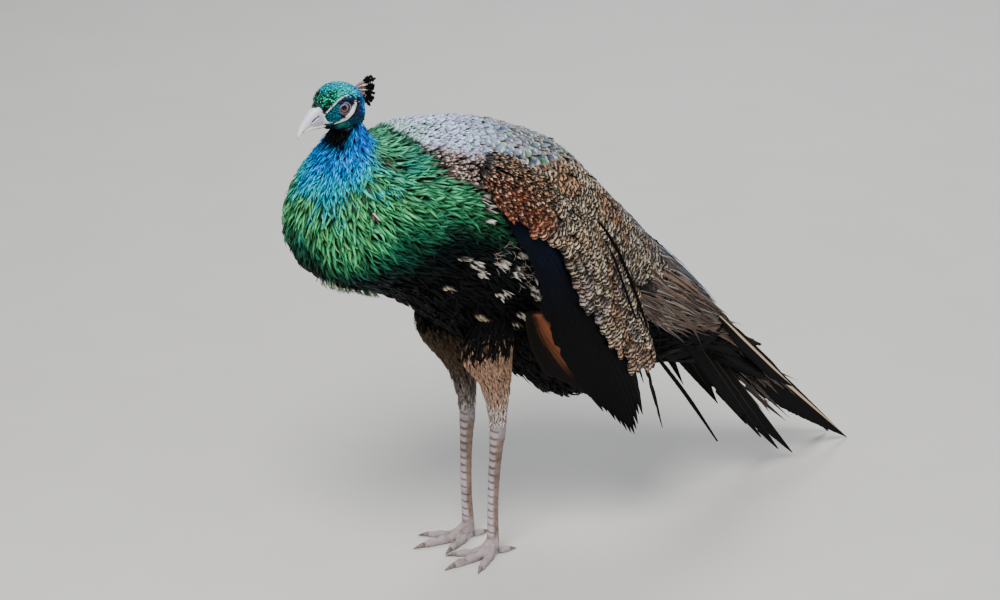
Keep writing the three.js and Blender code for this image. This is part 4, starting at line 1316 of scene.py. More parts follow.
coat = {  # each part's feathers: their size, how their roots lie, and where they differ from their kind
    "neck": {**soft, "length": 17, "width": 2.5, "apart": (4.6, 1.9), "depth": 7, "layer": (-4, 0.5),
        "lift": (0, 1.5), "bend": 0.4, "roll": 0.45, "ridge": 0.35, "at": (0, 0.35, 0.72),
        "widths": (0.5, 1, 0.7)},
    "breast": {**soft, "length": 26, "width": 4.7, "apart": (7, 3.7), "vary": 0.45, "depth": 9,
        "layer": (-7, -1.5), "lift": (0, 2.5), "stray": 0.27, "roll": 0.6, "ridge": 0.35},
    "mantle": {**rounded, "length": 12, "width": 6.2, "apart": (4.5, 4.8), "depth": 5, "lift": (0, 1.4)},
    "saddle": {**rounded, "length": 19, "width": 12.5, "apart": (8, 9), "vary": 0.2, "depth": 5},
    "patch": {**soft, "length": 15, "width": 3.6, "vary": 0.45, "depth": 3, "layer": (-1, 1.5), "stray": 0.16,
        "bend": 0.3, "ridge": 0.25, "at": (0, 0.35, 0.7)},
    "shoulder": {**soft, "length": 17, "width": 5, "apart": (5.6, 4), "depth": 5, "bend": 0.3, "ridge": 0.2,
        "at": (0, 0.35, 0.72), "widths": (0.5, 1, 0.74)},
    "fringe": {**soft, "length": 15, "width": 2.6, "apart": (5, 3), "depth": 3, "layer": (0, 1.5),
        "lift": (2, 6), "stray": 0.25, "roll": 0.6, "widths": (0.6, 1, 0.6)},
    "back": {**rounded, "length": 22, "width": 11.5, "apart": (8.2, 8.6), "depth": 6, "roll": 0.16,
        "ridge": 0.13},
    "belly": {**soft, "length": 28, "width": 5, "apart": (8.5, 5.2), "vary": 0.4, "depth": 8,
        "layer": (-6, 0), "lift": (0, 4), "stray": 0.35, "roll": 0.5, "widths": (0.5, 1, 0.75)},
    "train": {**rounded, "length": 40, "width": 13, "apart": (11, 9), "vary": 0.25, "depth": 7,
        "layer": (-3, 0), "lift": (0, 2), "stray": 0.14, "bend": 0.15, "at": (0, 0.3, 0.6, 0.88),
        "widths": (0.5, 0.95, 1, 0.65)},
    "streamer": {**trailing, "length": 105, "width": 6.2, "apart": (13, 5.2), "vary": 0.4, "depth": 5,
        "layer": (-1, 3.5), "lift": (0, 3), "roll": 0.5},
    "strand": {**trailing, "length": 90, "width": 4.6, "apart": (26, 6), "vary": 0.35, "depth": 1,
        "stray": 0.06, "ridge": 0.2, "widths": (0.4, 0.85, 1, 0.9, 0.7, 0.4, 0.16)},
    "under": {**trailing, "length": 125, "width": 22, "apart": (20, 14), "vary": 0.2, "depth": 8,
        "layer": (-8, -1), "lift": (0, 6), "bend": 0.15, "roll": 0.3, "ridge": 0.1,
        "widths": (0.4, 0.85, 1, 1, 0.9, 0.65, 0.35)},
    "wisp": {**soft, "length": 16, "width": 0.7, "apart": (4, 2), "depth": 3, "layer": (0, 2), "lift": (3, 7),
        "stray": 0.5, "bend": 2.4, "roll": 0.8, "ridge": 0.5, "at": (0, 0.2, 0.4, 0.6, 0.8),
        "widths": (1, 1, 0.9, 0.8, 0.6)},
    "head": {**soft, "length": 4.4, "width": 2.3, "apart": (1.7, 1.7), "vary": 0.25, "depth": 1.3,
        "layer": (-0.5, 0.25), "lift": (0.2, 1.2), "stray": 0.25, "bend": 0.2, "ridge": 0.25, "at": (0, 0.55),
        "widths": (0.7, 1)},
    "apron": {**soft, "length": 26, "width": 4.4, "apart": (8, 4.6), "vary": 0.35, "depth": 3.4,
        "layer": (-1, 2.5), "lift": (0, 3), "stray": 0.3, "roll": 0.6},
    "thigh": {**soft, "length": 13, "width": 2.4, "apart": (4.0, 2.3), "depth": 3.4, "layer": (-1.5, 0.3),
        "lift": (0, 1.4), "stray": 0.22, "bend": 0.4, "roll": 0.5, "at": (0, 0.35, 0.7),
        "widths": (0.5, 1, 0.75)},
}


# True inside the skull, where no body feather starts.
def insideHead(points):
    x, ahead, high = headAddress(points)
    ovals = (x / 16) ** 2 + ((ahead - 2) / 26) ** 2 + (high / 27) ** 2
    return ovals < 1


# Feathers of one kind over a stretch of the body, where a rule allows them, thinned out to a share. They take
# the markings three quarters of their length behind their root, or their own dye.
def addBody(name, key, fromU, toU, fromV, toV, where=None, surface=bodyPoint, turn=0.0, thin=1.0, dye=None):
    look = coat[key]
    along, around = look["apart"]
    u, v = rootsOver(surface, fromU, toU, fromV, toV, along, around)
    points = surface(u, v)
    kept = ~insideHead(points) & ~underWing(points, 0.05) & (dice.random(len(u)) < thin)
    if where is not None:
        kept &= where(u, np.abs((v + 0.5) % 1 - 0.5))
    u, v, points = keep(kept, u, v, points)
    vary = differ(len(u))
    tint, rim = bodyMarkings(u + look["length"] * 0.75 / body["step"], v, points, vary)
    tone = 1.1 + 0.55 * differ(len(u)) + 0.3 * noiseAt(points, 14, 12)
    if dye is not None:
        tint, rim = dye(u, v, vary)
    feathers.setdefault(name, []).append(layFeathers(
        surface, u, v, look, tint * column(tone), rim, bodyUnwrap, turn=turn * np.where(v % 1 < 0.5, 1, -1),
        depth=coatDepth(u) * 0.8))


# The rules of where feathers stand. On the scaly or barred back, above the flank's border.
def scaled(u, low):
    return low < border("flank", u + 0.2) + 0.004


# On the silvery mantle.
def silvery(u, low):
    return low < border("mantle", u + 0.1) + 0.01


# On the barred part, between the two.
def barry(u, low):
    return scaled(u, low + 0.008) & (low > border("mantle", u + 0.1) - 0.004)


# Under the flank's border, where the feathers are loose.
def loose(u, low):
    return low > border("flank", u + 0.3) - 0.012


# Underneath, and further up the sides behind the legs.
def underneath(u, low):
    return loose(u, low) & (low > 0.26 - 0.14 * rise(u, 9, 10.5))


# The long loose feathers of the train: dark brown with pale edges, greyer on top.
def streamerDye(u, v, vary):
    low = np.abs((v + 0.5) % 1 - 0.5)
    tint = over(paint(42, 30, 26), paint(96, 72, 58), rise(vary, 0.0, 0.9))
    rim = over(paint(160, 126, 106), paint(226, 212, 200), 0.5 + 0.5 * np.sin(7 * vary))
    grey = 1 - rise(low, 0.03, 0.12)
    return over(tint, "slate", grey * 0.5), over(rim, "silver", grey * 0.6)


# Where the long loose feathers start, further ahead on the sides than on top.
def streamerPlaces(u, low):
    ahead = (u < 11.8 + 20 * np.maximum(low - 0.1, 0)) & (u > 10.7 - 9 * np.maximum(low - 0.12, 0))
    return (low < border("flank", u + 0.2) + 0.05) & ahead


# The dark feathers under the tail.
def blackDye(u, v, vary):
    return np.tile(paint(13, 13, 16), (len(u), 1)), np.tile(paint(40, 36, 34), (len(u), 1))


# The pale points of the lowest breast feathers.
def fringeDye(u, v, vary):
    tint = over("deepGreen", paint(206, 208, 178), rise(vary, 0.0, 0.6))
    return tint, tint


# The few pale curled wisps on the flank.
def wispDye(u, v, vary):
    tint = np.tile(paint(178, 164, 154), (len(u), 1))
    return tint, tint


addBody("coat_neck", "neck", 0.0, 1.95, 0, 1, surface=neckPoint)
addBody("coat_breast_left", "breast", 1.7, 7.6, 0.0, 0.5, loose)
addBody("coat_breast_right", "breast", 1.7, 7.6, 0.5, 1.0, loose)
addBody("coat_mantle", "mantle", 2.9, 5.7, -0.15, 0.15, silvery)
addBody("coat_mantle", "saddle", 5.5, 9.2, -0.15, 0.15, silvery)
addBody("coat_back", "shoulder", 3.0, 6.6, -0.34, 0.34, barry)
addBody("coat_back", "back", 6.3, 10.6, -0.34, 0.34, barry)
addBody("coat_belly", "belly", 6.8, 15.6, 0.1, 0.9, underneath)
addBody("coat_train", "train", 9.8, 15.4, -0.36, 0.36, scaled)
addBody("coat_streamers", "streamer", 9.7, 14.5, -0.26, 0.26, streamerPlaces, surface=streamerPoint,
        turn=0.05, dye=streamerDye, thin=0.75)
addBody("coat_undertail", "under", 11.4, 14.0, 0.22, 0.78, surface=streamerPoint, turn=0.1, dye=blackDye,
        thin=0.8)
addBody("coat_breast_left", "fringe", 4.6, 6.2, 0.455, 0.49, dye=fringeDye, thin=0.8)
addBody("coat_breast_left", "wisp", 7.0, 8.9, 0.24, 0.30, turn=0.6, dye=wispDye, thin=0.12)


# Small patches of white feathers in the black of the flank.
def layPatches():
    for station, low, radius in whiteSpots:
        count = int(2.7 * radius)
        u = station - 0.13 + dice.uniform(-0.8, 0.5, count) * radius / body["step"]
        v = low + dice.uniform(-0.7, 0.7, count) * radius / body["round"]
        tint = over(paint(232, 224, 212), paint(172, 152, 112), rise(low, 0.33, 0.37) * 0.8)
        tint = over(tint, "umber", 0.9 * (dice.random(count) < 0.2)) * column(1 + 0.3 * differ(count))
        feathers["coat_breast_left"].append(layFeathers(
            bodyPoint, u, v, coat["patch"], tint, tint * 0.6, bodyUnwrap))


layPatches()
print("body feathers laid")


# The coat of the head


# The top of the bill, where the forehead's last feathers lie.
def billTop(u, v):
    return headRing(bill["upper"], bill["squareness"], u, v)


# The small feathers of the head lie backwards from the bill. None stand on the lids or the bare white marks.
# They are longer on the nape and below the cheeks, where they run into the neck's.
def layHead():
    look = coat["head"]
    u, v = rootsOver(skullPoint, 0.15, 7.8, 0, 1, *look["apart"])
    points = skullPoint(u, v)
    x, ahead, high = headAddress(points)
    tips = headAddress(skullPoint(u + 0.35, v))
    bare = np.maximum(whiteFace(ahead, high, 0.3), 0.8 * whiteFace(tips[1], tips[2], 0.3))
    bare = bare * rise(np.abs(x), 4, 7) > 0.4
    ring = np.hypot(ahead - eye["lidMiddle"][0], high - eye["lidMiddle"][1])
    lid = (ring < eye["lidOuter"] + 0.1) & (np.abs(x) > 8)
    ridge = np.interp(ahead, *np.array(bill["upper"])[:3, :2].T)
    onBill = (ahead > 31.5) & (high < 10.5) & (high > -17)
    onBill |= (ahead > 27.5) & (np.abs(x) < 8) & (high < ridge + 0.3)
    kept = ~bare & ~lid & ~onBill
    u, v, points, ahead, high = keep(kept, u, v, points, ahead, high)
    vary = 0.6 * noiseAt(points, 4, 15) + 0.5 * differ(len(u))
    tint, rim = headMarkings(ahead, high, vary)
    tone = 1.55 + 0.7 * differ(len(u)) + 0.2 * noiseAt(points, 6, 16)
    longer = np.maximum(rise(-ahead, 14, 24), rise(-high, 20, 28))
    size = lerp(0.7, 1.0, rise(-ahead, -26, -4)) * (1 + 1.3 * longer)
    feathers.setdefault("coat_head", []).append(layFeathers(
        skullPoint, u, v, look, tint * column(tone), rim, lambda a, b: (0.02 + 0.12 * a, onMap(b % 1)),
        size=size))

    u, v = rootsOver(billTop, 4.5, 6.6, -0.13, 0.13, 1.4, 1.3)
    x, ahead, high = headAddress(billTop(u, v))
    kept = np.abs(x) < np.minimum(4.8, 1 + 1.3 * (39.0 - ahead))
    u, v, ahead, high = keep(kept, u, v, ahead, high)
    tint, rim = headMarkings(ahead, high + 8, 0.6 * differ(len(u)))
    feathers["coat_head"].append(layFeathers(
        billTop, u, v, look, tint * column(1 + 0.6 * differ(len(u))), rim,
        lambda a, b: (0.01 + 0.002 * a, 0.5 + 0.4 * b), size=0.75, depth=0.6, layer=1.3))


layHead()


# The coat of the thighs


thighTones = {
    "left": {"top": paint(206, 164, 136), "low": paint(226, 212, 204)},
    # The far, right thigh is the same plumage in darker tones: painted shade on the far side.
    "right": {"top": paint(104, 88, 72), "low": paint(168, 156, 152)},
}


# Short pale feathers down the thigh, black at its top under an apron of longer black ones.
def layThigh(name, leg):
    def surface(u, v):
        return thighPoint(leg, u, v)

    def unwrap(u, v):
        return 0.02 + 0.24 * u, onMap(v % 1)

    look, apron, tones = coat["thigh"], coat["apron"], thighTones[name]
    u, v = rootsOver(surface, 0.02, 3.9, 0, 1, *look["apart"])
    vary = differ(len(u))
    tint = over(tones["top"], tones["low"], rise(u + 0.4 * vary, 1.8, 3.4))
    tint = over(tint, "white", rise(u + 0.5 * vary, 3.2, 3.8) * 0.5)
    tint = over(tint, "black", 1 - rise(u + 0.3 * vary, 0.42, 0.95)) * column(1 + 0.35 * differ(len(u)))
    laid = [layFeathers(surface, u, v, look, tint, tint * 0.7, unwrap)]
    u, v = rootsOver(surface, 0.1, 0.66, 0, 1, *apron["apart"])
    black = np.tile(colours["black"], (len(u), 1)) * column(1 + 0.5 * differ(len(u)))
    laid.append(layFeathers(surface, u, v, apron, black, black * 0.6, unwrap))
    feathers["coat_thigh_" + name] = laid


for name, leg in legs.items():
    layThigh(name, leg)


# The wings


wingLook = {
    "steps": 70,  # from end to end of its feathers
    "covertEdge": [
        (0, -0.95), (0.55, -1), (1.03, -1), (1.55, -0.95), (2.1, -0.6), (2.5, -0.36), (3.33, -0.2),
        (3.93, -0.10), (4.42, 0.09), (4.95, 0.26), (5.28, 0.38), (5.58, 0.5), (5.9, 0.9),
    ],
    "covert": {**rounded, "length": 23, "width": 11.5, "apart": (8.2, 8.4), "depth": 5, "layer": (-2.2, 0.2),
        "lift": (0, 2), "stray": 0.1, "roll": 0.18, "widths": (0.5, 0.95, 1, 0.68), "stretch": (1.8, 5.1),
        "sizes": (0.62, 1.15)},
    "lesser": {**soft, "length": 15, "width": 5.4, "apart": (5, 4.2), "vary": 0.25, "depth": 5,
        "layer": (-2.2, 0.4), "stray": 0.16, "bend": 0.2, "ridge": 0.2, "at": (0, 0.35, 0.72),
        "widths": (0.5, 1, 0.74), "stretch": (0.0, 1.9), "sizes": (1, 1)},
    "secondaries": 11, "primaries": 6, "tertials": 2,
    # each black strip of painted shadow: from and to along the wing, from and to across it
    "shadowStrips": [(2.5, 4.75, 1.0, 0.95), (3.1, 4.5, 0.8, 0.74)],
    "shadowStripLift": 24, "shadowStrip": {"root": 0.1, "roundFrom": 0.6, "shaft": 0.3},
    "pointed": {
        "roundFrom": 0.7, "roundPower": 1.5, "blunt": 0.85, "splits": 3, "fray": 0.1, "arch": 0.7,
        "shaft": 0.3,
    },
}


# The coverts' lower edge across the wing, read off its table.
def covertEdge(along):
    places, edges = np.array(wingLook["covertEdge"]).T
    return np.interp(along, places, edges)


# How far the coverts' surface stands off the wing's inner layers.
def covertLift(along):
    share = np.asarray(along) / lastWing / 0.85
    return 6.3 + lerp(11, 3.2, rise(share, 0.1, 0.9)) * 0.9


# The markings of the coverts: dark with buff bars, rusty low at the shoulder, rosy at its edge and greyer to
# the tip.
def wingMarkings(along, across, points, vary):
    rim = over("buff", "cream", 0.5 + 0.5 * vary)
    rim = over(rim, "tan", rise(noiseAt(points, 24, 31) + 0.3 * vary, -0.1, 0.4) * 0.8)
    place = across + 0.2 * vary + 0.25 * noiseAt(points, 30, 33)
    rust = (1 - rise(along + 0.4 * vary, 1.9, 2.8)) * (1 - rise(place, -0.05, 0.35))
    rust = rust * rise(along + 0.2 * vary, 0.2, 0.5)
    rust = rust * (0.55 + 0.45 * rise(noiseAt(points, 9, 35) + 0.6 * vary, -0.4, 0.2))
    middle = np.exp(-(((along - 4.1) / 0.9) ** 2)) * rise(noiseAt(points, 22, 37) + 0.4 * vary, -0.2, 0.4)
    rim = over(rim, paint(176, 160, 168), middle * 0.7)
    tint, rim = over("umber", paint(104, 54, 38), rust), over(rim, paint(212, 116, 74), rust)
    rosy = (1 - rise(along, 0.05, 0.4)) * 0.8
    tint, rim = over(tint, "rosyBrown", rosy * (1 - rust)), over(rim, "rosy", rosy * (1 - 0.6 * rust))
    rim = over(rim, "pale", rise(along, 4.4, 5.6) * 0.35)
    return tint, rim


# A flight feather: a thin plate carried along a spine. Its two webs run out from a raised shaft, arched, with
# splits cut into their edges and a ragged tip.
def longFeather(spine, facing, webs, look, tint, rim, patch):
    rows = len(spine)
    share = np.linspace(0, 1, rows)
    ahead = unit(np.gradient(spine, axis=0))
    facing = unit(facing - ahead * column(dot(facing, ahead)))
    aside = np.cross(ahead, facing)
    columns = np.array([-1, -0.7, -0.36, -0.08, 0, 0.08, 0.36, 0.7, 1.0])
    outline = lerp(look["root"], 1, rise(share, 0, look["swell"]))
    towardsTip = np.clip((share - look["roundFrom"]) / (1.002 - look["roundFrom"]), 0, 1)
    outline = outline * (1 - towardsTip ** look["roundPower"]) ** look["blunt"]
    edges = []
    for side in (0, 1):
        cut = np.ones(rows)
        for _ in range(dice.poisson(look["splits"])):
            where, deep = dice.uniform(0.25, 0.97), dice.uniform(0.2, 0.75)
            span = dice.uniform(1.2, 2.6) / rows
            cut = np.minimum(cut, 1 - deep * np.clip(1 - np.abs(share - where) / span, 0, 1))
        frayed = 1 + look["fray"] * dice.uniform(-1, 0.3, rows) * rise(share, 0.2, 0.9)
        edges.append(webs[side] * outline * cut * frayed)
    reachOut = np.where(columns < 0, edges[0][:, None], edges[1][:, None]) * columns
    arch = look["arch"] * (1 - columns**2) * np.minimum(rise(share, 0, 0.2), 1.0)[:, None]
    shaftHeight = look["shaft"] * (np.abs(columns) < 0.04) * (1 - share)[:, None] ** 0.7
    top = spine[:, None] + aside[:, None] * column(reachOut) + facing[:, None] * column(arch + shaftHeight)
    thin = look["thick"] * (1 - 0.6 * columns**2)
    under = top - facing[:, None] * column(thin + shaftHeight)
    shape = outward(tube(np.concatenate([top, under[:, ::-1]], 1)))
    ring = np.concatenate([columns, columns[::-1]])
    count = rows * len(ring)
    length = np.linalg.norm(np.diff(spine, axis=0), axis=1).sum()
    along, across = np.append(np.repeat(share, len(ring)), [0, 1]), np.append(np.tile(ring, rows), [0, 0])
    shape["along"], shape["across"], shape["reach"] = along, across, (1 - along) * length
    shape["chance"] = np.full(count + 2, dice.random())
    shape["shaft"] = np.full(count + 2, float(look["pale"]))
    shape["tint"] = tint(along, across) if callable(tint) else np.tile(tint, (count + 2, 1))
    shape["rim"] = np.tile(rim, (count + 2, 1))
    shape["bake"] = np.stack([patch[0] + patch[1] * (0.5 + 0.45 * across), onMap(along)], -1)
    return shape


flightLook = {
    "root": 0.35, "swell": 0.25, "roundFrom": 0.8, "roundPower": 2.2, "blunt": 0.5, "splits": 1.2,
    "fray": 0.06, "arch": 1.4, "shaft": 0.8, "thick": 0.7, "pale": 0.0,
}


# Vanes of flight feathers: their tint with slanting streaks of barbs, their rim colour at the edges and a
# shaft that is pale where `shaft` says.
def vaneMaterial(name, look):
    graph = Graph(name)
    across, chance, reach, shaft = (graph.attribute(key) for key in ("across", "chance", "reach", "shaft"))
    tint, rim = graph.attribute("tint", True), graph.attribute("rim", True)
    edge = across.absolute()
    slant = reach - edge * look["slant"]
    lines = graph.node("CombineXYZ", {}, [slant * look["streaks"], edge * 0.6, chance * 40])
    streak = graph.node("TexNoise", {}, {"Vector": lines, "Scale": 1.0, "Detail": 3.0}, output="Fac")
    shade = graph.mix((edge ** look["rimPower"]) * look["rimShare"], tint, rim)
    shade = graph.toned(shade, 0.55 + 0.9 * streak)
    rib = (1 - edge.between(shaft * 0.06 + 0.03, shaft * 0.07 + 0.06)) * shaft
    shade = graph.mix(rib, shade, look["ribColour"])
    barbs = (slant * look["barbsPerMm"] * fullTurn).sine()
    return graph.finish(
        Base_Color=shade,
        Roughness=look["roughness"] + 0.15 * streak,
        Specular_IOR_Level=look["specular"],
        Normal=graph.bump(barbs * 0.5 + 0.5 + streak * 0.5, 0.00025),
    )


vaneLook = {
    "slant": 14.0, "streaks": 0.5, "rimPower": 4.0, "rimShare": 0.6, "barbsPerMm": 0.55, "roughness": 0.5,
    "specular": 0.07, "ribColour": tuple(paint(206, 182, 150)),
}
flightVane = vaneMaterial("flightVane", vaneLook)


# The wing's outer face at rows of places, as points and directions out.
def alongWing(side, along, across, lift):
    def surface(a, c):
        return wingPoint(side, a, c, lift)

    point, _, _, normal = tangents(surface, along, across, -side)
    return point, normal


# The coverts: small ones at the shoulder, then larger ones that grow towards the tip.
def wingCoverts(side, name):
    def surface(a, c):
        return wingPoint(side, a, c, covertLift(a))

    def unwrap(a, c):
        return 0.02 + 0.96 * a / lastWing, 0.5 + 0.46 * c

    laid = []
    for look in (wingLook["lesser"], wingLook["covert"]):
        u, v = rootsOver(surface, *look["stretch"], -1.0, 1.0, *look["apart"])
        u, v = keep(v > covertEdge(u + 0.25) + 0.045, u, v)
        points, vary = surface(u, v), differ(len(u))
        tint, rim = wingMarkings(u + 0.2, v, points, vary)
        tone = 1 + 0.4 * differ(len(u)) + 0.25 * noiseAt(points, 16, 12)
        size = lerp(*look["sizes"], rise(u, 0.2, 3.2))
        laid.append(layFeathers(
            surface, u, v, look, tint, rim * column(tone), unwrap, sign=-side, size=size,
            turn=-0.12 * side * rise(u, 3, 5)))
    piece = addPiece(f"wing_barred_{name}", joined(laid), barred, "wing_coverts")
    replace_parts(piece, f"wing_{name}_coverts")


# The wing's arm: a dark shell that fills the space under the coverts.
def wingArm(side, name):
    along = np.linspace(0.3, 4.9, wingLook["steps"])[:, None]
    share = np.linspace(0, 1, 20)
    across = lerp(covertEdge(along) + 0.06 + 0.14 * (1 - rise(along, 1.4, 2.2)), 0.96, share)
    swell = np.sqrt(np.sin(np.pi * share)) * rise(along, 0.0, 0.9)
    outer = wingPoint(side, along + 0 * share, across, lerp(1.5, covertLift(along) - 3.2, swell))
    inner = wingPoint(side, along + 0 * share, across, 1.0)
    shell = outward(tube(np.concatenate([outer, inner[:, ::-1]], 1)))
    points = shell["points"]
    shell["tint"] = np.tile(colours["umber"], (len(points), 1))
    shell["rim"] = shell["tint"]
    for key in ("along", "across", "chance", "reach", "shaft"):
        shell[key] = np.zeros(len(points))
    flat = np.stack([(points[:, 2] - 100) / 480, (points[:, 1] + 80) / 330], -1)
    shell["bake"] = np.clip(flat, 0, 1)
    addPiece(f"wing_arm_{name}", shell, flightVane, "wing_coverts")


# Black with a blue sheen painted into the colour, fading out towards the tip.
def blackWithPaintedSheen(along, across):
    return over(paint(4, 5, 7), paint(6, 20, 46), (1 - rise(along, 0.2, 0.62)) * 0.55)


# The secondaries, the narrow tertials above them and black strips of painted shadow in the gap behind the
# coverts.
def wingBlack(side, name):
    s = np.linspace(0, 1, wingLook["steps"])
    vanes, number = [], wingLook["secondaries"]
    pointed = {**flightLook, **wingLook["pointed"]}
    for i in range(number):
        share = i / (number - 1)
        tipAlong = 5.66 + 0.26 * rise(share, 0, 0.5) - 0.22 * rise(share, 0.62, 1) + dice.uniform(-0.03, 0.03)
        a = lerp(1.5 + 0.5 * share, tipAlong, s)
        c = lerp(-0.93 + 0.5 * share, lerp(-0.56, 0.42, share), rise(s, 0.0, 0.95) * 0.6 + 0.4 * s)
        c = c + 0.1 * np.sin(np.pi * s) * (1 - rise(share, 0, 0.5))
        point, normal = alongWing(side, a, c, 3.1 + 2.2 * share * (1 - 0.5 * s))
        vanes.append(longFeather(
            point, normal, (19, 11)[::side], pointed, blackWithPaintedSheen, paint(5, 5, 7), (i / number, 1 / number)))
    for i in range(wingLook["tertials"]):
        share = i / (wingLook["tertials"] - 1)
        a, c = lerp(4.2, lerp(5.95, 5.4, share), s), lerp(0.5, 0.92 - 0.3 * share, s)
        point, normal = alongWing(side, a, c, 8 - 3 * s)
        vanes.append(longFeather(
            point, normal, (4, 4), pointed, paint(22, 17, 15), paint(60, 48, 40), (i / number, 1 / number)))
    # Each strip is a black feather lying where the gap between the wing and the train is in shadow: painted
    # shadow.
    for fromAlong, toAlong, fromAcross, toAcross in wingLook["shadowStrips"]:
        a, c = lerp(fromAlong, toAlong, s), lerp(fromAcross, toAcross, s)
        point, normal = alongWing(side, a, c, wingLook["shadowStripLift"])
        vanes.append(longFeather(
            point, normal, (3.2, 3.2), {**flightLook, **wingLook["shadowStrip"]}, paint(5, 5, 6), paint(5, 5, 6),
            (0.5, 0.05)))
    piece = addPiece(f"wing_black_{name}", joined(vanes), flightVane, "wing_secondaries")
    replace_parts(piece, f"wing_{name}_secondaries")


# The primaries: rust with dusky tips, darkened with painted shade on the lower ones and towards their
# edges, where they lie under the wing and under each other.
def wingRust(side, name):
    s = np.linspace(0, 1, wingLook["steps"])
    vanes, number = [], wingLook["primaries"]
    # the dark of the dusky tips, and of painted shade on the lower primaries and their edges
    rust, shadeAndTipDark = paint(112, 66, 42), paint(10, 8, 8)
    for j in range(number):
        share = j / (number - 1)
        a = lerp(3.85 + 0.1 * share, 5.1 + 0.55 * share, s)
        c = lerp(-0.98 + 0.14 * share, -0.97 + 0.62 * share, s)
        point, normal = alongWing(side, a, c, 0.2 + 1.6 * share)
        rusty = rise(share, 0.35, 0.8)

        def warm(along, across):
            inside = (1 - rise(along, 0.55, 0.85)) * rusty * (1 - 0.85 * rise(np.abs(across), 0.3, 0.9))
            return over(shadeAndTipDark, rust, inside)

        vanes.append(longFeather(
            point, normal, (13, 8)[::side], {**flightLook, "arch": 0.9, "splits": 0.6, "root": 0.6}, warm,
            paint(40, 28, 22), (j / number, 1 / number)))
    piece = addPiece(f"wing_rust_{name}", joined(vanes), flightVane, "wing_primaries")
    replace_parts(piece, f"wing_{name}_primaries")


for name, side in sides.items():
    wingCoverts(side, name)
    wingArm(side, name)
    wingBlack(side, name)
    wingRust(side, name)
print("wings done")


# The tail


tail = {  # tip and root of each shaft, its roll in degrees, and the widths of its inner and outer webs
    "left": [
        ((-29, 610, 0.8), (21, 235, 345), 84, (6, 38)), ((-9, 503, 9), (29.5, 230, 340), 84, (2, 26)),
        ((3, 470, 26), (36.5, 226, 336), 79, (2.5, 24)), ((20, 428, 58), (43.5, 222, 332), 76, (4, 20)),
        ((31, 350, 73), (60, 215, 245), 72, (4, 4)),
    ],
    "right": [
        ((-62, 604, 0.8), (-21, 235, 345), 20, (21, 21)), ((-50, 490, 20), (-19, 230, 340), 31, (20, 20)),
        ((-48, 455, 48), (-16, 226, 336), 42, (19, 19)), ((-52, 410, 86), (-12, 222, 332), 53, (17, 17)),
        ((-40, 345, 130), (-4, 222, 322), 56, (8, 8)),
    ],
    "arch": 4, "fall": 2,
    "shaftOver": [(42.4, 339.7, 250.2), (25.4, 471.9, 121.2)],
    "look": {
        **flightLook, "root": 0.5, "swell": 0.3, "roundFrom": 0.62, "roundPower": 1.25, "blunt": 1.0,
        "splits": 0.5, "fray": 0.05, "arch": 0.0, "shaft": 1.4, "thick": 0.8,
    },
}


# The tail feathers of one side, each along its own line and rolled about it.
def tailParts(side, name):
    s = np.linspace(0, 1, 120)
    for i, (tip, root, roll, (inner, outer)) in enumerate(tail[name]):
        roll, tip, root = np.radians(roll), np.array(tip, float), np.array(root, float)
        along = unit(tip - root)
        flat = np.array([side * np.cos(roll), 0, -np.sin(roll)])
        across = unit(flat - along * dot(flat, along))
        normal = unit(np.cross(across, along))
        normal = normal * (1 if normal[2] > 0 else -1)
        bow = tail["arch"] * np.sin(np.pi * s) - tail["fall"]
        spine = root + (tip - root) * column(s) + normal * column(bow)
        webs = (inner, outer) if dot(np.cross(along, normal), across) > 0 else (outer, inner)
        look = {**tail["look"], "arch": tail["fall"], "pale": 1.0 if (i, side) == (0, 1) else 0.06}
        shape = longFeather(
            spine, np.tile(normal, (len(s), 1)), webs, look, paint(6, 6, 7), paint(16, 13, 12), (0, 1))
        shape["points"][:, 2] = np.maximum(shape["points"][:, 2], 0.05)
        piece = addPiece(f"tail_vane_{name}_{i + 1}", shape, flightVane, "tail_feathers")
        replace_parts(piece, f"tail_{name}_{i + 1}")


for name, side in sides.items():
    tailParts(side, name)


# Loose strands of the train lying on the tail, between the lines of its two longest feathers.
def strandsOver(side, name):
    (tipA, rootA, *_), (tipB, rootB, *_) = tail[name][:2]
    lines = [np.array(spot, float) for spot in (rootA, tipA, rootB, tipB)]

    def sheet(u, v):
        a, b = lerp(lines[0], lines[1], column(u)), lerp(lines[2], lines[3], column(u) * 1.12)
        return lerp(a, b, column(v)) + np.array([side * 5.0, 0, 2.0])

    look = coat["strand"]
    u, v = rootsOver(sheet, 0.0, 0.62, 0.15, 0.95, *look["apart"])
    v = v * (0.55 + 0.45 * rise(u, 0.1, 0.6))
    tint, rim = streamerDye(u * 0 + 12, v * 0 + 0.2, differ(len(u)))
    feathers["coat_streamers"].append(layFeathers(
        sheet, u, v, look, tint, rim, lambda a, b: (0.3 + 0.5 * a, 0.02 + 0.1 * b), sign=-side,
        turn=side * -0.08))


for name, side in sides.items():
    strandsOver(side, name)


# The bare shaft of the longest tail feather, seen over the loose feathers of the train on its way to the
# tail.
def shaftOver():
    start, end = np.array(tail["shaftOver"])
    share = np.linspace(0, 1, 60)
    spine = start + (end - start) * column(share)
    _, _, _, normal = tangents(streamerPoint, 0 * share + 15.5, 0 * share + 0.18, 1)
    look = {**tail["look"], "root": 0.3, "roundFrom": 0.7, "arch": 1.0, "pale": 1.6, "splits": 0}
    shape = longFeather(spine, normal, (7, 17), look, paint(8, 7, 8), paint(16, 13, 12), (0, 1))
    addPiece("tail_shaft_over", shape, flightVane, "tail_feathers")


shaftOver()
print("tail done")


# The crest


crest = {"feathers": 12, "steps": 60, "root": (-18.5, 14.5), "length": 29, "from": 159, "to": 234}


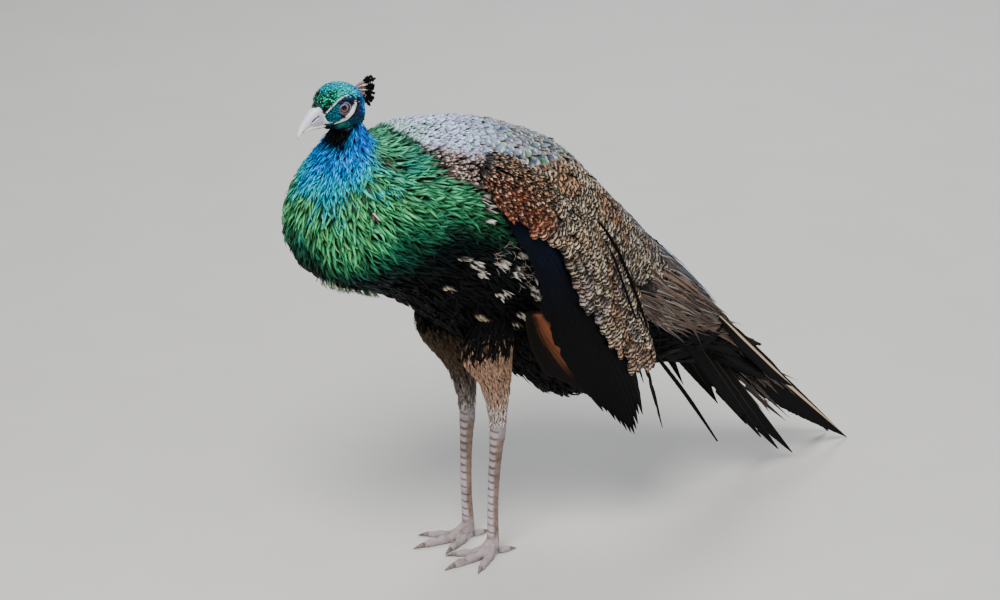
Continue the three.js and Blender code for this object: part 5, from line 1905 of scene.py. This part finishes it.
# The crest: a fan of bare shafts with short barbs, each with a small dark vane at its end.
def crestShape():
    shapes, number, steps = [], crest["feathers"], crest["steps"]
    for i in range(number):
        share = i / (number - 1)
        angle = np.radians(lerp(crest["from"], crest["to"], share))
        lean = 3.4 * np.sin(i * 2.4)
        length = crest["length"] * (1 - 0.1 * share + 0.07 * np.sin(i * 1.7))
        s = np.linspace(0, 1, steps)
        ahead = crest["root"][0] - 2.5 * share + np.cos(angle) * length * s
        high = crest["root"][1] - 2.5 * share + np.sin(angle) * length * s - 2.5 * s * s
        spine = headPlace(lean * s * 1.6, ahead, high)
        facing = np.tile([1.0, 0.3 * np.sin(i * 5.1), 0], (steps, 1))
        barbs = 0.45 + 0.9 * dice.random(steps) * rise(s, 0.12, 0.3)
        start = dice.uniform(0.5, 0.6)
        vane = 2.7 * rise(s, start, start + 0.18) * (1 - 0.7 * rise(s, 0.86, 1.0))
        vane = vane * (1 - 0.7 * (dice.random(steps) > 0.55))
        look = {
            **flightLook, "root": 1, "swell": 0.1, "roundFrom": 0.99, "splits": 0, "fray": 0, "arch": 0.1,
            "shaft": 0.3, "thick": 0.45,
        }
        brown = over(paint(206, 180, 172), paint(128, 94, 80), rise(s, 0.1, 0.4) * (i % 2))

        def tone(along, across):
            return over(brown[np.rint(along * (steps - 1)).astype(int)], paint(9, 9, 11),
                        rise(along, 0.46, 0.56))

        reach = barbs + vane
        webs = (reach, reach * dice.uniform(0.8, 1.1))
        shapes.append(longFeather(
            spine, facing, webs, look, tone, paint(8, 8, 10), (i / number, 1 / number)))
    return joined(shapes)


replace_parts(addPiece("crest_fan", crestShape(), flightVane, "crest_feathers"), "crest")
print("crest done")


wear = {  # the plumage and the slot of each coat piece
    "coat_neck": (glossyPlumage, "neck_feathers"), "coat_breast_left": (glossyPlumage, "breast_feathers"),
    "coat_breast_right": (glossyPlumage, "breast_feathers"), "coat_head": (crownPlumage, "head_feathers"),
    "coat_mantle": (scalyPlumage, "back_feathers"), "coat_back": (barred, "back_feathers"),
    "coat_train": (mottled, "train_feathers"), "coat_streamers": (strandPlumage, "train_feathers"),
    "coat_undertail": (softPlumage, "train_feathers"), "coat_belly": (softPlumage, "breast_feathers"),
    "coat_thigh_left": (softPlumage, "thigh_feathers"), "coat_thigh_right": (softPlumage, "thigh_feathers"),
}
for name, batches in feathers.items():
    addPiece(name, joined(batches), *wear[name])
print("coat done")


# Floor, lights and camera


# A pale floor, three soft lights and the camera.
def studio():
    camera = {
        "middle": (16.3, 25.2, 326.0), "turn": 57, "rise": 20, "away": 4500, "perPixel": 1.22, "width": 1000,
    }
    turn, lean = np.radians([camera["turn"], camera["rise"]])
    back = np.array([np.sin(turn) * np.cos(lean), -np.cos(turn) * np.cos(lean), np.sin(lean)])
    seen = bpy.data.cameras.new("camera")
    seen.sensor_width = 36
    seen.lens = 36 * camera["away"] / camera["perPixel"] / camera["width"]
    seen.clip_start, seen.clip_end = 0.1, 60
    holder = bpy.data.objects.new("camera", seen)
    holder.location = place(np.array(camera["middle"]) + back * camera["away"])
    holder.rotation_euler = Vector(back).to_track_quat("Z", "Y").to_euler()
    bpy.context.scene.collection.objects.link(holder)
    bpy.context.scene.camera = holder

    floorGraph = Graph("paleFloor")
    dust = floorGraph.noise(6.0, 4.0)
    tone = floorGraph.mix(dust, tuple(paint(206, 204, 200)), tuple(paint(216, 214, 210)))
    material = floorGraph.finish(Base_Color=tone, Roughness=0.8)
    reach = 12.0
    mesh = bpy.data.meshes.new("floor")
    mesh.from_pydata([(-reach, -reach, 0), (reach, -reach, 0), (reach, reach, 0), (-reach, reach, 0)], [],
                     [(0, 1, 2, 3)])
    mesh.materials.append(material)
    floor = bpy.data.objects.new("floor", mesh)
    bpy.context.scene.collection.objects.link(floor)

    lights = {  # where each soft light stands in metres, its width, power and colour
        "key": ((1.5, -1.7, 3.0), 1.6, 150, (1.0, 0.98, 0.95)),
        "fill": ((3.0, 1.6, 1.6), 2.4, 24, (0.93, 0.96, 1.0)),
        "back": ((-2.0, 1.8, 2.6), 1.6, 60, (0.95, 0.97, 1.0)),
    }
    for name, (spot, width, power, tone) in lights.items():
        lamp = bpy.data.lights.new(name, "AREA")
        lamp.shape, lamp.size, lamp.energy, lamp.color = "DISK", width, power, tone
        stand = bpy.data.objects.new(name, lamp)
        stand.location = spot
        stand.rotation_euler = (Vector(spot) - Vector((0, 0, 0.35))).to_track_quat("Z", "Y").to_euler()
        bpy.context.scene.collection.objects.link(stand)
    world = bpy.data.worlds.new("studio")
    world.use_nodes = True
    world.node_tree.nodes["Background"].inputs["Color"].default_value = (0.86, 0.9, 0.95, 1)
    world.node_tree.nodes["Background"].inputs["Strength"].default_value = 0.4
    bpy.context.scene.world = world


studio()
